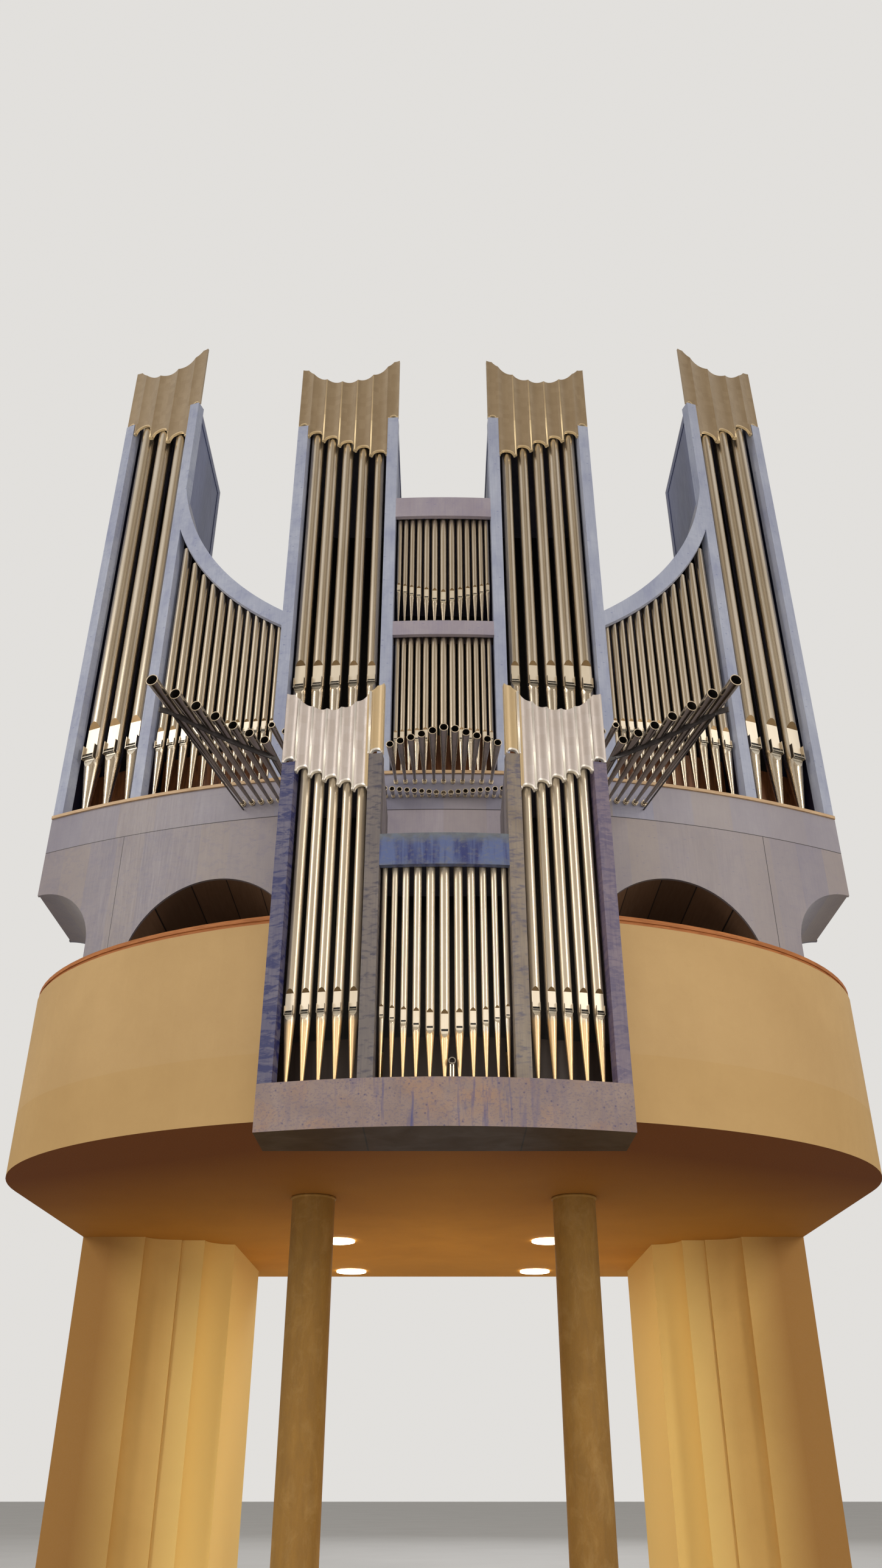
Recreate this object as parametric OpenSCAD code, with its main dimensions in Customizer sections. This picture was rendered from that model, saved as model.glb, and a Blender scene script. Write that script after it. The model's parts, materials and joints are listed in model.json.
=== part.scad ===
// Pipe organ on its gallery, in millimetres, Z up from the ground.
// The origin is on the ground, under the centre of the whole plan.
// The front faces -Y. Main case, front case and gallery share one centre line.

/* [Gallery] */
// Height of the soffit above the ground
soffit_h = 4150; // [3800:50:4500]
// Thickness of the floor slab
slab_t = 600; // [450:25:750]
// Half width of the gallery
gallery_half_w = 4550; // [4400:25:4700]
// How far the curved front bows out from its straight sides
gallery_bow = 3040; // [2900:20:3200]
// Length of the straight sides behind the bow
gallery_side_l = 2770; // [2600:10:2900]
// Length of the passage soffit behind the sides
passage_l = 3460; // [3200:20:3700]
// Half width of the passage soffit behind the piers
passage_half_w = 2900; // [2800:20:3100]
// Height of the parapet above the floor, handrail included
parapet_h = 1320; // [1000:20:1400]
// Thickness of the parapet
parapet_t = 160; // [120:10:220]
// Height of the handrail
handrail_h = 80; // [50:5:110]
// How far the handrail's upper layer stands back from the parapet's faces
handrail_inset = 8; // [0:2:20]
// How far its lower layer stands back from the upper one
handrail_reveal = 14; // [6:2:24]
// Gap between the parapet and the front case
chair_gap = 40; // [20:5:60]
// Diameter of a column
column_d = 460; // [380:20:560]
// Distance of each column from the centre line
column_x = 1410; // [1300:10:1500]
// Distance of the columns behind the gallery's front
column_setback = 3370; // [3200:10:3500]
// Half width between the piers at the front
pier_gap_front = 3765; // [3700:5:3900]
// Half width between the piers at the back
pier_gap_back = 2720; // [2620:10:2780]
// Length of the piers
pier_l = 2900; // [2600:20:3200]
// Width of a pier's outer hollow
outer_hollow_w = 420; // [340:10:460]
// Depth of a pier's outer hollow
outer_hollow_d = 220; // [160:10:300]
// Width of the flat strip between a pier's hollows
pier_strip_w = 290; // [200:10:340]
// How far that strip steps back from the outer hollow
pier_rib = 35; // [20:5:60]
// Depth of a pier's inner hollow
inner_hollow_d = 325; // [240:5:420]
// Diameter of a ceiling lamp
lamp_d = 150; // [100:10:200]
// Distance of the ceiling lamps from the centre line
lamp_x = 1350; // [1200:10:1500]
// Distance of the front lamps behind the piers' front
lamp_front = 255; // [200:5:400]
// Distance of the back lamps from the slab's back
lamp_back = 600; // [400:20:900]

/* [Front case] */
// Radius of its bowed front
chair_radius = 5680; // [5400:40:6000]
// How far it stands out in front of the gallery
chair_overhang = 660; // [600:10:720]
// Depth of its lower part, in front of the slab
chair_low_d = 830; // [800:5:860]
// Depth of its part above the floor
chair_depth = 1310; // [1250:10:1400]
// Height of its underside above the ground
chair_bottom = 3900; // [3800:10:4000]
// Height of its plinth
chair_plinth_h = 350; // [300:10:400]
// Height of its posts
chair_post_h = 3050; // [2900:10:3200]
// Width of its outer posts
chair_post_w = 130; // [110:5:150]
// Depth of its posts
chair_post_d = 110; // [90:5:130]
// Thickness of its boards
chair_board = 30; // [24:2:36]
// Half width of its middle field
chair_field = 575; // [560:5:590]
// Width of each of its towers, posts included
chair_tower_w = 955; // [930:5:980]
// Height of the top rail's underside above the toe board
chair_rail_z = 1890; // [1800:10:1950]
// Height of the top rail
chair_rail_h = 310; // [250:10:350]
// Pipes in each tower of the front case
chair_tower_n = 5; // [3:1:5]
// Pipes in the middle field of the front case
chair_field_n = 11; // [9:2:11]
// Height of the mouths in its towers above their feet
chair_mouth = 610; // [540:10:680]
// Height of the middle pipe's mouth above its foot
chair_mid_mouth = 400; // [360:10:440]
// Height of the outermost field pipes' mouths above their feet
chair_side_mouth = 540; // [480:10:600]
// Height of the windchest behind its pipes
chair_chest_h = 450; // [360:10:460]
// Diameter of the wind tube that opens between the feet
tube_d = 52; // [44:2:56]
// Height of the tube's axis above the feet
tube_h = 150; // [120:5:180]
// Place of the tube beside the centre line
tube_x = 61; // [58:1:63]
// Distance of the tube's axis behind the front case's front
tube_setback = 120; // [110:5:200]

/* [Main case] */
// Half width of the main case
case_half_w = 4970; // [4930:10:5010]
// Radius of its bowed front
case_radius = 11400; // [11000:100:12500]
// Distance of its front behind the gallery's front
case_setback = 2070; // [2000:10:2100]
// Depth of the case on the centre line
case_depth = 2600; // [2500:10:2700]
// Thickness of a case board
board_t = 40; // [30:2:50]
// Height of the pipes' feet above the gallery floor
feet_h = 4020; // [3950:10:4100]
// Thickness of the toe board
toe_t = 40; // [30:2:50]
// Height of the frieze under the toe board
frieze_h = 480; // [440:10:520]
// Gap between the case's legs and the parapet
leg_gap = 210; // [170:10:240]
// Radius of an archway
arch_r = 1050; // [950:10:1080]
// Height of an archway's spring line above the floor
arch_spring = 1700; // [1600:10:1800]
// Height at which an archway's vault starts above the spring line
lining_start = 150; // [120:10:200]
// Width of a leg between the archway and the overhang
leg_w = 480; // [420:10:520]
// Rise of the quarter arch under each overhang
overhang_rise = 770; // [700:10:780]
// Distance of the quarter arch's end from the case's edge
overhang_inset = 20; // [10:2:30]
// Height of the overhang's spring line above the floor
overhang_spring = 2150; // [2050:10:2200]
// Thickness of a leg
leg_t = 150; // [100:10:200]

/* [Towers] */
// Width of a post
post_w = 150; // [130:5:160]
// Depth of a post
post_d = 150; // [120:5:180]
// Width of an outer tower, posts included
outer_tower_w = 1232; // [1210:2:1250]
// Height of the outer towers' posts above the toe board
outer_post_h = 6980; // [6700:20:7200]
// Inner edge of the inner towers
inner_x = 650; // [630:5:670]
// Width of an inner tower, posts included
inner_tower_w = 1460; // [1430:5:1480]
// Height of the inner towers' posts above the toe board
inner_post_h = 5980; // [5700:20:6200]
// Pipes in an outer tower
outer_n = 3; // [2:1:4]
// Pipes in an inner tower
inner_n = 5; // [4:1:6]
// Radius of the swooping rail's upper edge
swoop_r = 3950; // [3900:5:3960]
// Height of the swooping rail
swoop_h = 200; // [160:10:240]
// Height of the swoop's centre above the toe board
swoop_centre_h = 5810; // [5750:10:5900]
// How far the swoop runs upright past the outer towers' inner edge
swoop_reach = 52; // [46:2:60]
// Mean spacing of the pipes under each swooping rail
swoop_pitch = 136; // [125:1:160]
// How much wider the outermost of these spacings is than the innermost
swoop_grow = 0.8; // [0.6:0.05:0.9]
// Width of the stiles and rails round the panels of the towers' sides
stile_w = 110; // [90:5:130]
// Panels one above the other in a tower's side
side_panels = 4; // [3:1:5]
// Height of the middle rail above the toe board
mid_rail_z = 2040; // [1900:10:2150]
// Height of the middle rail
mid_rail_h = 220; // [180:10:260]
// Height of the upper rail above the toe board
top_rail_z = 4060; // [3950:10:4150]
// Height of the upper rail
top_rail_h = 340; // [280:10:380]
// Pipes in each middle field
field_n = 13; // [9:2:13]
// Gap between the pipes of a middle field and what bounds it at the side
field_margin = 20; // [10:2:30]
// Gap between these pipes' tops and what is above them
field_top_gap = 60; // [40:5:90]

/* [Pipes] */
// Gap between the veils and the pipes behind them
pipe_gap = 14; // [10:1:30]
// Height of the outer towers' mouths above the feet
outer_mouth = 880; // [800:10:960]
// Height of the inner towers' mouths above the feet
inner_mouth = 1400; // [1300:10:1480]
// Height of the mouths under the swooping rails
swoop_mouth = 780; // [700:10:860]
// Height of the mouths in the lower middle field
lower_mouth = 510; // [460:10:560]
// Height of the middle pipe's mouth in the upper middle field
upper_mouth_mid = 390; // [360:10:420]
// Height of the outermost pipes' mouths there
upper_mouth_side = 570; // [520:10:620]
// Diameter of the outer towers' innermost pipes as a share of their unit
outer_share = 0.7; // [0.6:0.01:0.76]
// Diameter of the inner towers' innermost pipes as a share of their unit
inner_share = 0.6; // [0.54:0.01:0.7]
// Growth of that share from pipe to pipe
share_step = 0.05; // [0:0.005:0.05]
// Diameter of the pipes under the swooping rails as a share of their spacing
swoop_share = 0.76; // [0.66:0.01:0.8]
// Diameter of a middle field's pipes as a share of their spacing
field_share = 0.74; // [0.64:0.01:0.8]
// How much wider the spacing is in the middle of a field, and narrower at its sides
field_swell = 0.2; // [0:0.01:0.24]
// Diameter of the front case's innermost tower pipes as a share of their unit
chair_share = 0.66; // [0.6:0.01:0.7]
// Growth of that share from pipe to pipe
chair_share_step = 0.015; // [0:0.005:0.02]
// Diameter of the front case's middle pipe as a share of its spacing
chair_mid_share = 0.68; // [0.6:0.01:0.74]
// The same share for its outermost field pipes
chair_side_share = 0.54; // [0.5:0.01:0.64]
// Diameter of a foot's tip as a share of the pipe's diameter
tip_share = 0.26; // [0.2:0.01:0.35]
// Depth of the flattened lips
lip_share = 0.15; // [0.1:0.01:0.18]
// Height of a mouth
cut_up_share = 0.22; // [0.18:0.01:0.28]
// Height of the upper lip
upper_lip_share = 1.9; // [1.5:0.05:2.1]
// Height of the lower lip
lower_lip_share = 0.65; // [0.5:0.05:0.8]
// Height of the arched end of the upper lip
lip_arch_share = 0.4; // [0.3:0.02:0.5]
// Thickness of the ears beside a mouth
ear_share = 0.03; // [0.025:0.005:0.05]
// Diameter of the roller between the ears
roller_share = 0.12; // [0.08:0.01:0.15]

/* [Veils] */
// Thickness of a veil
veil_t = 60; // [50:2:70]
// Radius of a veil's ribs, as a share of the unit's width
veil_rib = 0.085; // [0.06:0.005:0.09]
// Depth of a veil's channels
veil_channel = 26; // [14:1:30]
// Height of the veils over the outer towers' posts
outer_veil_h = 1230; // [1000:10:1300]
// Depth of the scoop in their upper edge
outer_scoop = 300; // [240:10:360]
// How far their shortest unit hangs below the post's top
outer_hang = 225; // [180:5:260]
// How much lower their longest unit hangs
outer_drop = 420; // [360:10:460]
// Height of the veils over the inner towers' posts
inner_veil_h = 1200; // [1000:10:1300]
// Depth of the scoop in their upper edge
inner_scoop = 360; // [300:10:420]
// How far their shortest unit hangs below the post's top
inner_hang = 220; // [180:5:260]
// How much lower their longest unit hangs
inner_drop = 500; // [440:10:560]
// Height of the veils over the front case's posts
chair_veil_h = 780; // [700:10:850]
// Depth of the scoop in their upper edge
chair_scoop = 230; // [180:10:280]
// How far their shortest unit hangs below the post's top
chair_hang = 110; // [80:5:140]
// How much lower their longest unit hangs
chair_drop = 260; // [220:10:300]
// Width of the level tips at a veil's ends, as a share of the end unit
tip_width = 0.55; // [0.4:0.05:0.7]
// How far the pipes run up behind the veils of the main case
behind_veil = 200; // [140:10:240]

/* [Trumpets] */
// Length of the longest side trumpet
side_l = 2620; // [2400:20:2700]
// Length of each side trumpet as a share of the one outside it
side_ratio = 0.894; // [0.88:0.002:0.9]
// Trumpets in each side group
side_n = 7; // [5:1:8]
// Outward angle of the outermost side trumpet
side_splay = 12.3; // [11:0.1:13]
// Bell diameter of the longest side trumpet
side_bell = 120; // [100:2:124]
// Trumpets in the middle group
mid_n = 11; // [7:2:11]
// Length of the middle trumpet
mid_l = 1200; // [1000:20:1300]
// Bell diameter of the middle group
mid_bell = 90; // [70:2:96]
// Trumpets in the small row
small_n = 17; // [13:2:17]
// Bell diameter of the small row
small_bell = 60; // [50:2:66]
// Spacing of the side trumpets' boots
side_pitch = 110; // [104:2:116]
// Distance of the outermost boot from the centre line
side_x = 2380; // [2340:5:2420]
// Depth of the side trumpets' boots below the feet
side_z = 320; // [280:5:360]
// Spacing of the middle group's boots
mid_pitch = 112; // [106:1:116]
// Depth of the middle group's boots below the feet
mid_z = 160; // [140:5:180]
// Spacing of the small row's boots
small_pitch = 84; // [78:1:88]
// Depth of the small row's boots below the feet
small_z = 350; // [320:5:380]
// Length of the small row's middle trumpet
small_mid_l = 85; // [75:5:110]
// Length of its outermost trumpets
small_side_l = 215; // [180:5:250]
// Wall of a trumpet
bell_wall = 4; // [3:0.5:5]
// Diameter of a trumpet's throat as a share of its bell
throat_share = 0.3; // [0.24:0.01:0.36]
// Diameter of its socket as a share of its bell
socket_share = 0.45; // [0.4:0.01:0.55]
// Length of a socket
socket_l = 45; // [30:5:60]
// Bell of each side trumpet as a share of the one outside it
side_bell_ratio = 0.965; // [0.94:0.005:0.98]
// How much less each side trumpet turns outwards than the one outside it
side_closing = 0.4; // [0.3:0.05:0.6]
// Small trumpets above each side group
side_upper_n = 3; // [1:1:3]
// Bell diameter of these small trumpets
side_upper_bell = 70; // [60:2:76]
// Depth of their boots below the feet
side_upper_z = 130; // [115:5:145]
// Length of the outermost trumpets of the middle group
mid_side_l = 865; // [800:5:950]
// Bell diameter of these outermost trumpets
mid_side_bell = 81; // [70:1:88]

/* [Hidden] */
$fn = 64;
fine_fn = 240;
eps = 1;
ellipse_step = 3;
toe_proud = 25;
toe_d = 450;
rail_d = 60;
chord = 150;
panel_sunk = 10;
chest_h = 900;
chest_d = 600;
chest_gap = 60;
chest_setback = 620;
chair_chest_d = 220;
chair_chest_setback = 380;

// Levels above the ground
floor_z = soffit_h + slab_t;
feet_z = floor_z + feet_h;
frieze_z = feet_z - toe_t - frieze_h;
outer_top = feet_z + outer_post_h;
inner_top = feet_z + inner_post_h;
field_top = feet_z + top_rail_z + top_rail_h;
chair_toe_z = chair_bottom + chair_plinth_h;
chair_feet_z = chair_toe_z + toe_t;
chair_top = chair_feet_z + chair_post_h;
chair_field_top = chair_feet_z + chair_rail_z + chair_rail_h;

// Places along Y
gallery_d = gallery_bow + gallery_side_l + passage_l;
front_y = -(gallery_d + chair_overhang) / 2;
slab_front = front_y + chair_overhang;
slab_back = slab_front + gallery_d;
bow_y = slab_front + gallery_bow;
pier_y = bow_y + gallery_side_l;
column_y = slab_front + column_setback;
case_front = slab_front + case_setback;
case_back_y = case_front + case_depth;
case_centre = case_front + case_radius;
chair_centre = front_y + chair_radius;
chair_low_back = front_y + chair_low_d;
chair_back_y = front_y + chair_depth;

// Places along X
leg_out = gallery_half_w - parapet_t - leg_gap;
arch_out = leg_out - leg_w;
arch_x = arch_out - arch_r;
arch_in = arch_x - arch_r;
overhang_end = case_half_w - overhang_inset;
outer_x = case_half_w - outer_tower_w;
inner_end_x = inner_x + inner_tower_w;
swoop_centre_x = swoop_r - outer_x - swoop_reach;
swoop_n = round((outer_x - inner_end_x) / swoop_pitch);
chair_half_w = chair_field + chair_tower_w;

// Points of a half ellipse that bows to the front
function bow(a, b) = [for (t = [180 : ellipse_step : 360]) [a * cos(t), bow_y + b * sin(t)]];
// Points of a hollow quarter ellipse, from an edge at [x, y] inwards by w and back by d
function hollow(x, y, w, d) =
    [for (t = [0 : ellipse_step : 90]) [x - w * (1 - cos(t)), y + d * sin(t)]];
// Points in X and Z of an overhang's underside, or of a line that is t above it
function overhang_line(t) = [for (i = [0 : ellipse_step : 90])
    [overhang_end - (overhang_end - leg_out + t) * cos(i),
        floor_z + overhang_spring + (overhang_rise + t) * sin(i)]];
// Depth of the main front at x
function case_y(x, r = case_radius) = case_centre - sqrt(r * r - x * x);

// Puts children on the main front at x, with their -Y outward
module on_front(x, back = 0) {
    translate([0, case_centre, 0]) rotate([0, 0, asin(x / case_radius)])
        translate([0, back - case_radius, 0]) children();
}

// The same on the front case's bow
module on_chair(x, back = 0) {
    translate([0, chair_centre, 0]) rotate([0, 0, asin(x / chair_radius)])
        translate([0, back - chair_radius, 0]) children();
}

// Both sides of the centre line
module both() {
    children();
    mirror([1, 0, 0]) children();
}

// Upright strip of a bowed wall, from x0 to x1 and z0 to z1, whose plan is a row of short chords
module strip(centre, r, t, x0, x1, z0, z1) {
    n = ceil((x1 - x0) / chord);
    turns = [for (i = [0 : n]) asin((x0 + (x1 - x0) * i / n) / r)];
    backs = [for (i = [0 : n]) asin((x0 + (x1 - x0) * i / n) / (r - t))];
    translate([0, centre, z0]) linear_extrude(z1 - z0) polygon(concat(
        [for (a = turns) [r * sin(a), -r * cos(a)]],
        [for (i = [n : -1 : 0]) [(r - t) * sin(backs[i]), -(r - t) * cos(backs[i])]]));
}

module case_strip(t, x0, x1, z0, z1, proud = 0)
    strip(case_centre, case_radius + proud, t + proud, x0, x1, z0, z1);

// Level board with a round front edge, back to a straight line
module bow_board(centre, r, half_w, back, z0, t) {
    intersection() {
        translate([0, centre, z0]) cylinder(r = r, h = t, $fn = fine_fn);
        translate([-half_w, centre - r - eps, z0 - eps]) cube([2 * half_w, back - centre + r + eps, t + 2 * eps]);
    }
}

module gallery_slab() {
    color("wheat") difference() {
        translate([0, 0, soffit_h]) linear_extrude(slab_t) union() {
            polygon(concat(bow(gallery_half_w, gallery_bow),
                [[gallery_half_w, pier_y], [-gallery_half_w, pier_y]]));
            translate([-gallery_half_w, pier_y - eps]) square([2 * gallery_half_w, pier_l + eps]);
            translate([-passage_half_w, pier_y - eps])
                square([2 * passage_half_w, passage_l + eps]);
        }
        translate([-chair_half_w, slab_front - eps, soffit_h - eps])
            cube([2 * chair_half_w, chair_low_back - slab_front + eps, slab_t + 2 * eps]);
    }
}

// Plan of a wall along the gallery's edge, between two insets
module edge_plan(outer_inset, inner_inset) {
    difference() {
        polygon(concat(bow(gallery_half_w - outer_inset, gallery_bow - outer_inset),
            [[gallery_half_w - outer_inset, pier_y], [outer_inset - gallery_half_w, pier_y]]));
        polygon(concat(bow(gallery_half_w - inner_inset, gallery_bow - inner_inset),
            [[gallery_half_w - inner_inset, pier_y + eps], [inner_inset - gallery_half_w, pier_y + eps]]));
        translate([-chair_half_w - chair_gap, slab_front - eps])
            square([2 * (chair_half_w + chair_gap), gallery_bow]);
    }
}

module parapets() {
    color("wheat") translate([0, 0, floor_z])
        linear_extrude(parapet_h - handrail_h) edge_plan(0, parapet_t);
}

// A rail in two layers, the lower one set back
module handrails() {
    low_inset = handrail_inset + handrail_reveal;
    color("sienna") translate([0, 0, floor_z + parapet_h - handrail_h]) union() {
        linear_extrude(handrail_h) edge_plan(low_inset, parapet_t - low_inset);
        translate([0, 0, handrail_h / 2]) linear_extrude(handrail_h / 2)
            edge_plan(handrail_inset, parapet_t - handrail_inset);
    }
}

module columns() {
    color("tan") both() translate([column_x, column_y, 0]) cylinder(d = column_d, h = soffit_h);
}

// Pier on the side of +X: two hollows with a rib and a flat strip between them
module pier() {
    strip_x = pier_gap_front - outer_hollow_w;
    strip_y = pier_y + outer_hollow_d + pier_rib;
    inner_hollow_x = strip_x - pier_strip_w;
    color("wheat") linear_extrude(soffit_h) polygon(concat(
        hollow(pier_gap_front, pier_y, outer_hollow_w, outer_hollow_d), [[strip_x, strip_y]],
        hollow(inner_hollow_x, strip_y, inner_hollow_x - pier_gap_back, inner_hollow_d),
        [[pier_gap_back, pier_y + pier_l], [gallery_half_w, pier_y + pier_l], [gallery_half_w, pier_y]]));
}

module pier_left() { mirror([1, 0, 0]) pier(); }
module pier_right() { pier(); }

// Round lamps under the soffit, each in a thin ring
module ceiling_lamps() {
    lamp_t = 20;
    ring_w = 15;
    color("lightyellow") both() for (y = [pier_y + lamp_front, slab_back - lamp_back])
        translate([lamp_x, y, soffit_h]) mirror([0, 0, 1]) difference() {
            cylinder(d = lamp_d + 2 * ring_w, h = lamp_t);
            translate([0, 0, lamp_t / 2]) cylinder(d = lamp_d, h = lamp_t);
        }
}

// Closed bay behind the front case, with its return walls
module base_centre_bay() {
    color("lightsteelblue") union() {
        case_strip(board_t, -arch_in, arch_in, floor_z, frieze_z);
        both() translate([arch_in - board_t, case_y(arch_in, case_radius - board_t) - eps, floor_z])
            cube([board_t, case_back_y - board_t + eps - case_y(arch_in, case_radius - board_t),
                frieze_z - floor_z]);
    }
}

// Space under an overhang and t above its underside, on the side of +X, down to the floor
module under_overhang(t) {
    far_x = case_half_w + post_w;
    top = floor_z + overhang_spring + overhang_rise + t;
    translate([0, case_back_y + eps, 0]) rotate([90, 0, 0]) linear_extrude(2 * case_depth)
        polygon(concat([[leg_out - t, floor_z - eps]], overhang_line(t),
            [[far_x, top], [far_x, floor_z - eps]]));
}

// Panel over an archway and the overhang, on the side of +X
module arch_panel() {
    arch_z = floor_z + arch_spring;
    color("lightsteelblue") difference() {
        case_strip(board_t, arch_in, case_half_w, arch_z, frieze_z);
        translate([arch_x, case_back_y, arch_z]) rotate([90, 0, 0])
            cylinder(r = arch_r, h = case_depth * 2, $fn = fine_fn);
        under_overhang(0);
    }
}

module arch_panel_left() { mirror([1, 0, 0]) arch_panel(); }
module arch_panel_right() { arch_panel(); }

// Barrel vaults behind the archways, each with the wall that closes the leg beside it
module arch_linings() {
    z = floor_z + arch_spring;
    back = case_back_y - board_t;
    leg_back = case_y(arch_out, case_radius - leg_t);
    color("saddlebrown") both() {
        intersection() {
            translate([arch_x, back, z]) rotate([90, 0, 0]) difference() {
                cylinder(r = arch_r + board_t, h = case_depth, $fn = fine_fn);
                translate([0, 0, -eps]) cylinder(r = arch_r, h = case_depth + 2 * eps, $fn = fine_fn);
            }
            strip(case_centre, case_radius - board_t, case_depth, arch_in, arch_out + board_t,
                z + lining_start, z + 2 * arch_r);
        }
        translate([arch_out, leg_back, floor_z]) cube([board_t, back - leg_back, arch_spring + lining_start]);
    }
}

module base_legs() {
    color("lightsteelblue") both()
        case_strip(leg_t, arch_out, leg_out, floor_z, floor_z + arch_spring);
}

// Lower outer walls, behind the legs
module base_sides() {
    back = case_back_y - board_t;
    leg_back = case_y(leg_out, case_radius - leg_t);
    color("lightsteelblue") both() union() {
        translate([leg_out - board_t, leg_back, floor_z])
            cube([board_t, back - leg_back, arch_spring]);
        translate([leg_out - board_t, case_y(leg_out, case_radius - board_t), floor_z + arch_spring])
            cube([board_t, back - case_y(leg_out, case_radius - board_t),
                overhang_spring - arch_spring]);
    }
}

// Curved undersides of the overhangs
module overhang_soffits() {
    z = floor_z + overhang_spring;
    low = overhang_line(0);
    high = overhang_line(board_t);
    color("lightsteelblue") both() intersection() {
        translate([0, case_back_y - board_t, 0]) rotate([90, 0, 0]) linear_extrude(case_depth)
            polygon(concat(low, [for (i = [len(high) - 1 : -1 : 0]) high[i]]));
        strip(case_centre, case_radius - board_t, case_depth, leg_out - board_t * 2, case_half_w,
            z - eps, z + 2 * overhang_rise);
    }
}

module impost_frieze() {
    color("lavender") case_strip(board_t, -case_half_w, case_half_w, frieze_z, feet_z - toe_t);
}

module toe_board() {
    color("burlywood") case_strip(toe_d, -case_half_w, case_half_w, feet_z - toe_t, feet_z, toe_proud);
}

// Floor of the pipe chamber, behind the toe board
module chest_deck() {
    color("saddlebrown")
        bow_board(case_centre, case_radius - toe_d, case_half_w, case_back_y - board_t, feet_z - toe_t, toe_t);
}

// Curved band along the swoop's line, on the side of +X, from y0 to y1
module swoop_band(t, x0, x1, y0, y1) {
    intersection() {
        translate([-swoop_centre_x, y0, feet_z + swoop_centre_h]) rotate([-90, 0, 0]) difference() {
            cylinder(r = swoop_r + t, h = y1 - y0, $fn = fine_fn);
            translate([0, 0, -eps]) cylinder(r = swoop_r, h = y1 - y0 + 2 * eps, $fn = fine_fn);
        }
        translate([x0, y0 - eps, feet_z]) cube([x1 - x0, y1 - y0 + 2 * eps, swoop_centre_h]);
    }
}

// Height of the swoop of radius r at x
function swoop_z(x, r) =
    feet_z + swoop_centre_h - sqrt(r * r - (x + swoop_centre_x) * (x + swoop_centre_x));

// Back wall, with the outline of what stands before it
module case_back() {
    y = case_back_y - board_t;
    overhang_top = floor_z + overhang_spring + overhang_rise;
    color("slategray") union() {
        both() translate([0, case_back_y, 0]) rotate([90, 0, 0]) linear_extrude(board_t)
            polygon(concat([[-eps, floor_z], [leg_out, floor_z]], overhang_line(0),
                [[case_half_w, overhang_top], [case_half_w, feet_z], [-eps, feet_z]]));
        translate([-inner_x, y, feet_z - eps]) cube([2 * inner_x, board_t, field_top - feet_z + eps]);
        both() {
            translate([inner_x - eps, y, feet_z - eps])
                cube([inner_end_x - inner_x + eps, board_t, inner_post_h + eps]);
            translate([outer_x, y, feet_z - eps])
                cube([tower_side_x() - outer_x, board_t, outer_post_h + eps]);
            difference() {
                translate([inner_end_x - eps, y, feet_z - eps])
                    cube([outer_x - inner_end_x + 2 * eps, board_t, swoop_z(outer_x, swoop_r) - feet_z]);
                translate([-swoop_centre_x, y - eps, feet_z + swoop_centre_h]) rotate([-90, 0, 0])
                    cylinder(r = swoop_r, h = board_t + 2 * eps, $fn = fine_fn);
            }
        }
    }
}

// Where the outer towers' side walls stand, just inside the outer posts' back corners
function tower_side_x() = (case_radius - post_d) * sin(outer_post_a()) + post_w / 2 * cos(outer_post_a());
function outer_post_a() = asin((case_half_w - post_w / 2) / case_radius);

// One post on the main front, standing on the toe board
module post(x, h) {
    on_front(x) translate([-post_w / 2, 0, feet_z]) cube([post_w, post_d, h]);
}

module outer_tower_posts() {
    color("lightsteelblue") both() {
        post(case_half_w - post_w / 2, outer_post_h);
        post(outer_x + post_w / 2, outer_post_h);
    }
}

module inner_tower_posts() {
    color("lightsteelblue") both() {
        post(inner_x + post_w / 2, inner_post_h);
        post(inner_end_x - post_w / 2, inner_post_h);
    }
}

// Upright wall that runs back from a post, with sunk panels on both faces
module flank(x, post_x, h) {
    back = case_back_y - board_t;
    front = case_y(x) - post_d;
    panel_h = (h - (side_panels + 1) * stile_w) / side_panels;
    panel_y = case_y(x) + post_d + stile_w;
    difference() {
        translate([x, front, feet_z]) cube([board_t, back - front, h]);
        on_front(post_x) translate([-post_w, -post_d * 2, feet_z - eps])
            cube([post_w * 2, post_d * 3, h + 2 * eps]);
        for (i = [0 : side_panels - 1], side = [-eps, board_t - panel_sunk])
            translate([x + side, panel_y, feet_z + stile_w + i * (panel_h + stile_w)])
                cube([panel_sunk + eps, back - stile_w - panel_y, panel_h]);
    }
}

module outer_tower_flanks() {
    color("steelblue") both() flank(outer_x, outer_x + post_w / 2, outer_post_h);
}

module inner_tower_flanks() {
    color("steelblue") both() {
        flank(inner_x, inner_x + post_w / 2, inner_post_h);
        flank(inner_end_x - board_t, inner_end_x - post_w / 2, inner_post_h);
    }
}

// Outer walls of the outer towers, and of the overhangs under them
module case_sides() {
    low = floor_z + overhang_spring + overhang_rise;
    low_x = overhang_end - board_t;
    low_front = case_y(low_x, case_radius - board_t);
    back = case_back_y - board_t;
    color("steelblue") both() {
        flank(tower_side_x() - board_t, case_half_w - post_w / 2, outer_post_h);
        difference() {
            translate([low_x, low_front, low]) cube([board_t, back - low_front, feet_z - toe_t - low]);
            case_strip(board_t, low_x - post_w, case_half_w + post_w, low - eps, feet_z, post_d);
            under_overhang(board_t);
        }
    }
}

// Flat roofs on towers and middle field, and curved ones under the swoop
module case_roofs() {
    color("slategray") {
        bow_roof(inner_x, inner_end_x, inner_top);
        mirror([1, 0, 0]) bow_roof(inner_x, inner_end_x, inner_top);
        bow_roof(outer_x, tower_side_x(), outer_top);
        mirror([1, 0, 0]) bow_roof(outer_x, tower_side_x(), outer_top);
        bow_roof(-inner_x, inner_x, field_top - board_t, case_back_y - board_t);
        both() difference() {
            swoop_band(board_t, inner_end_x, outer_x, case_front, case_back_y - board_t);
            case_strip(rail_d, inner_end_x - post_w, outer_x + post_w, feet_z, outer_top, case_depth);
        }
    }
}

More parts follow.
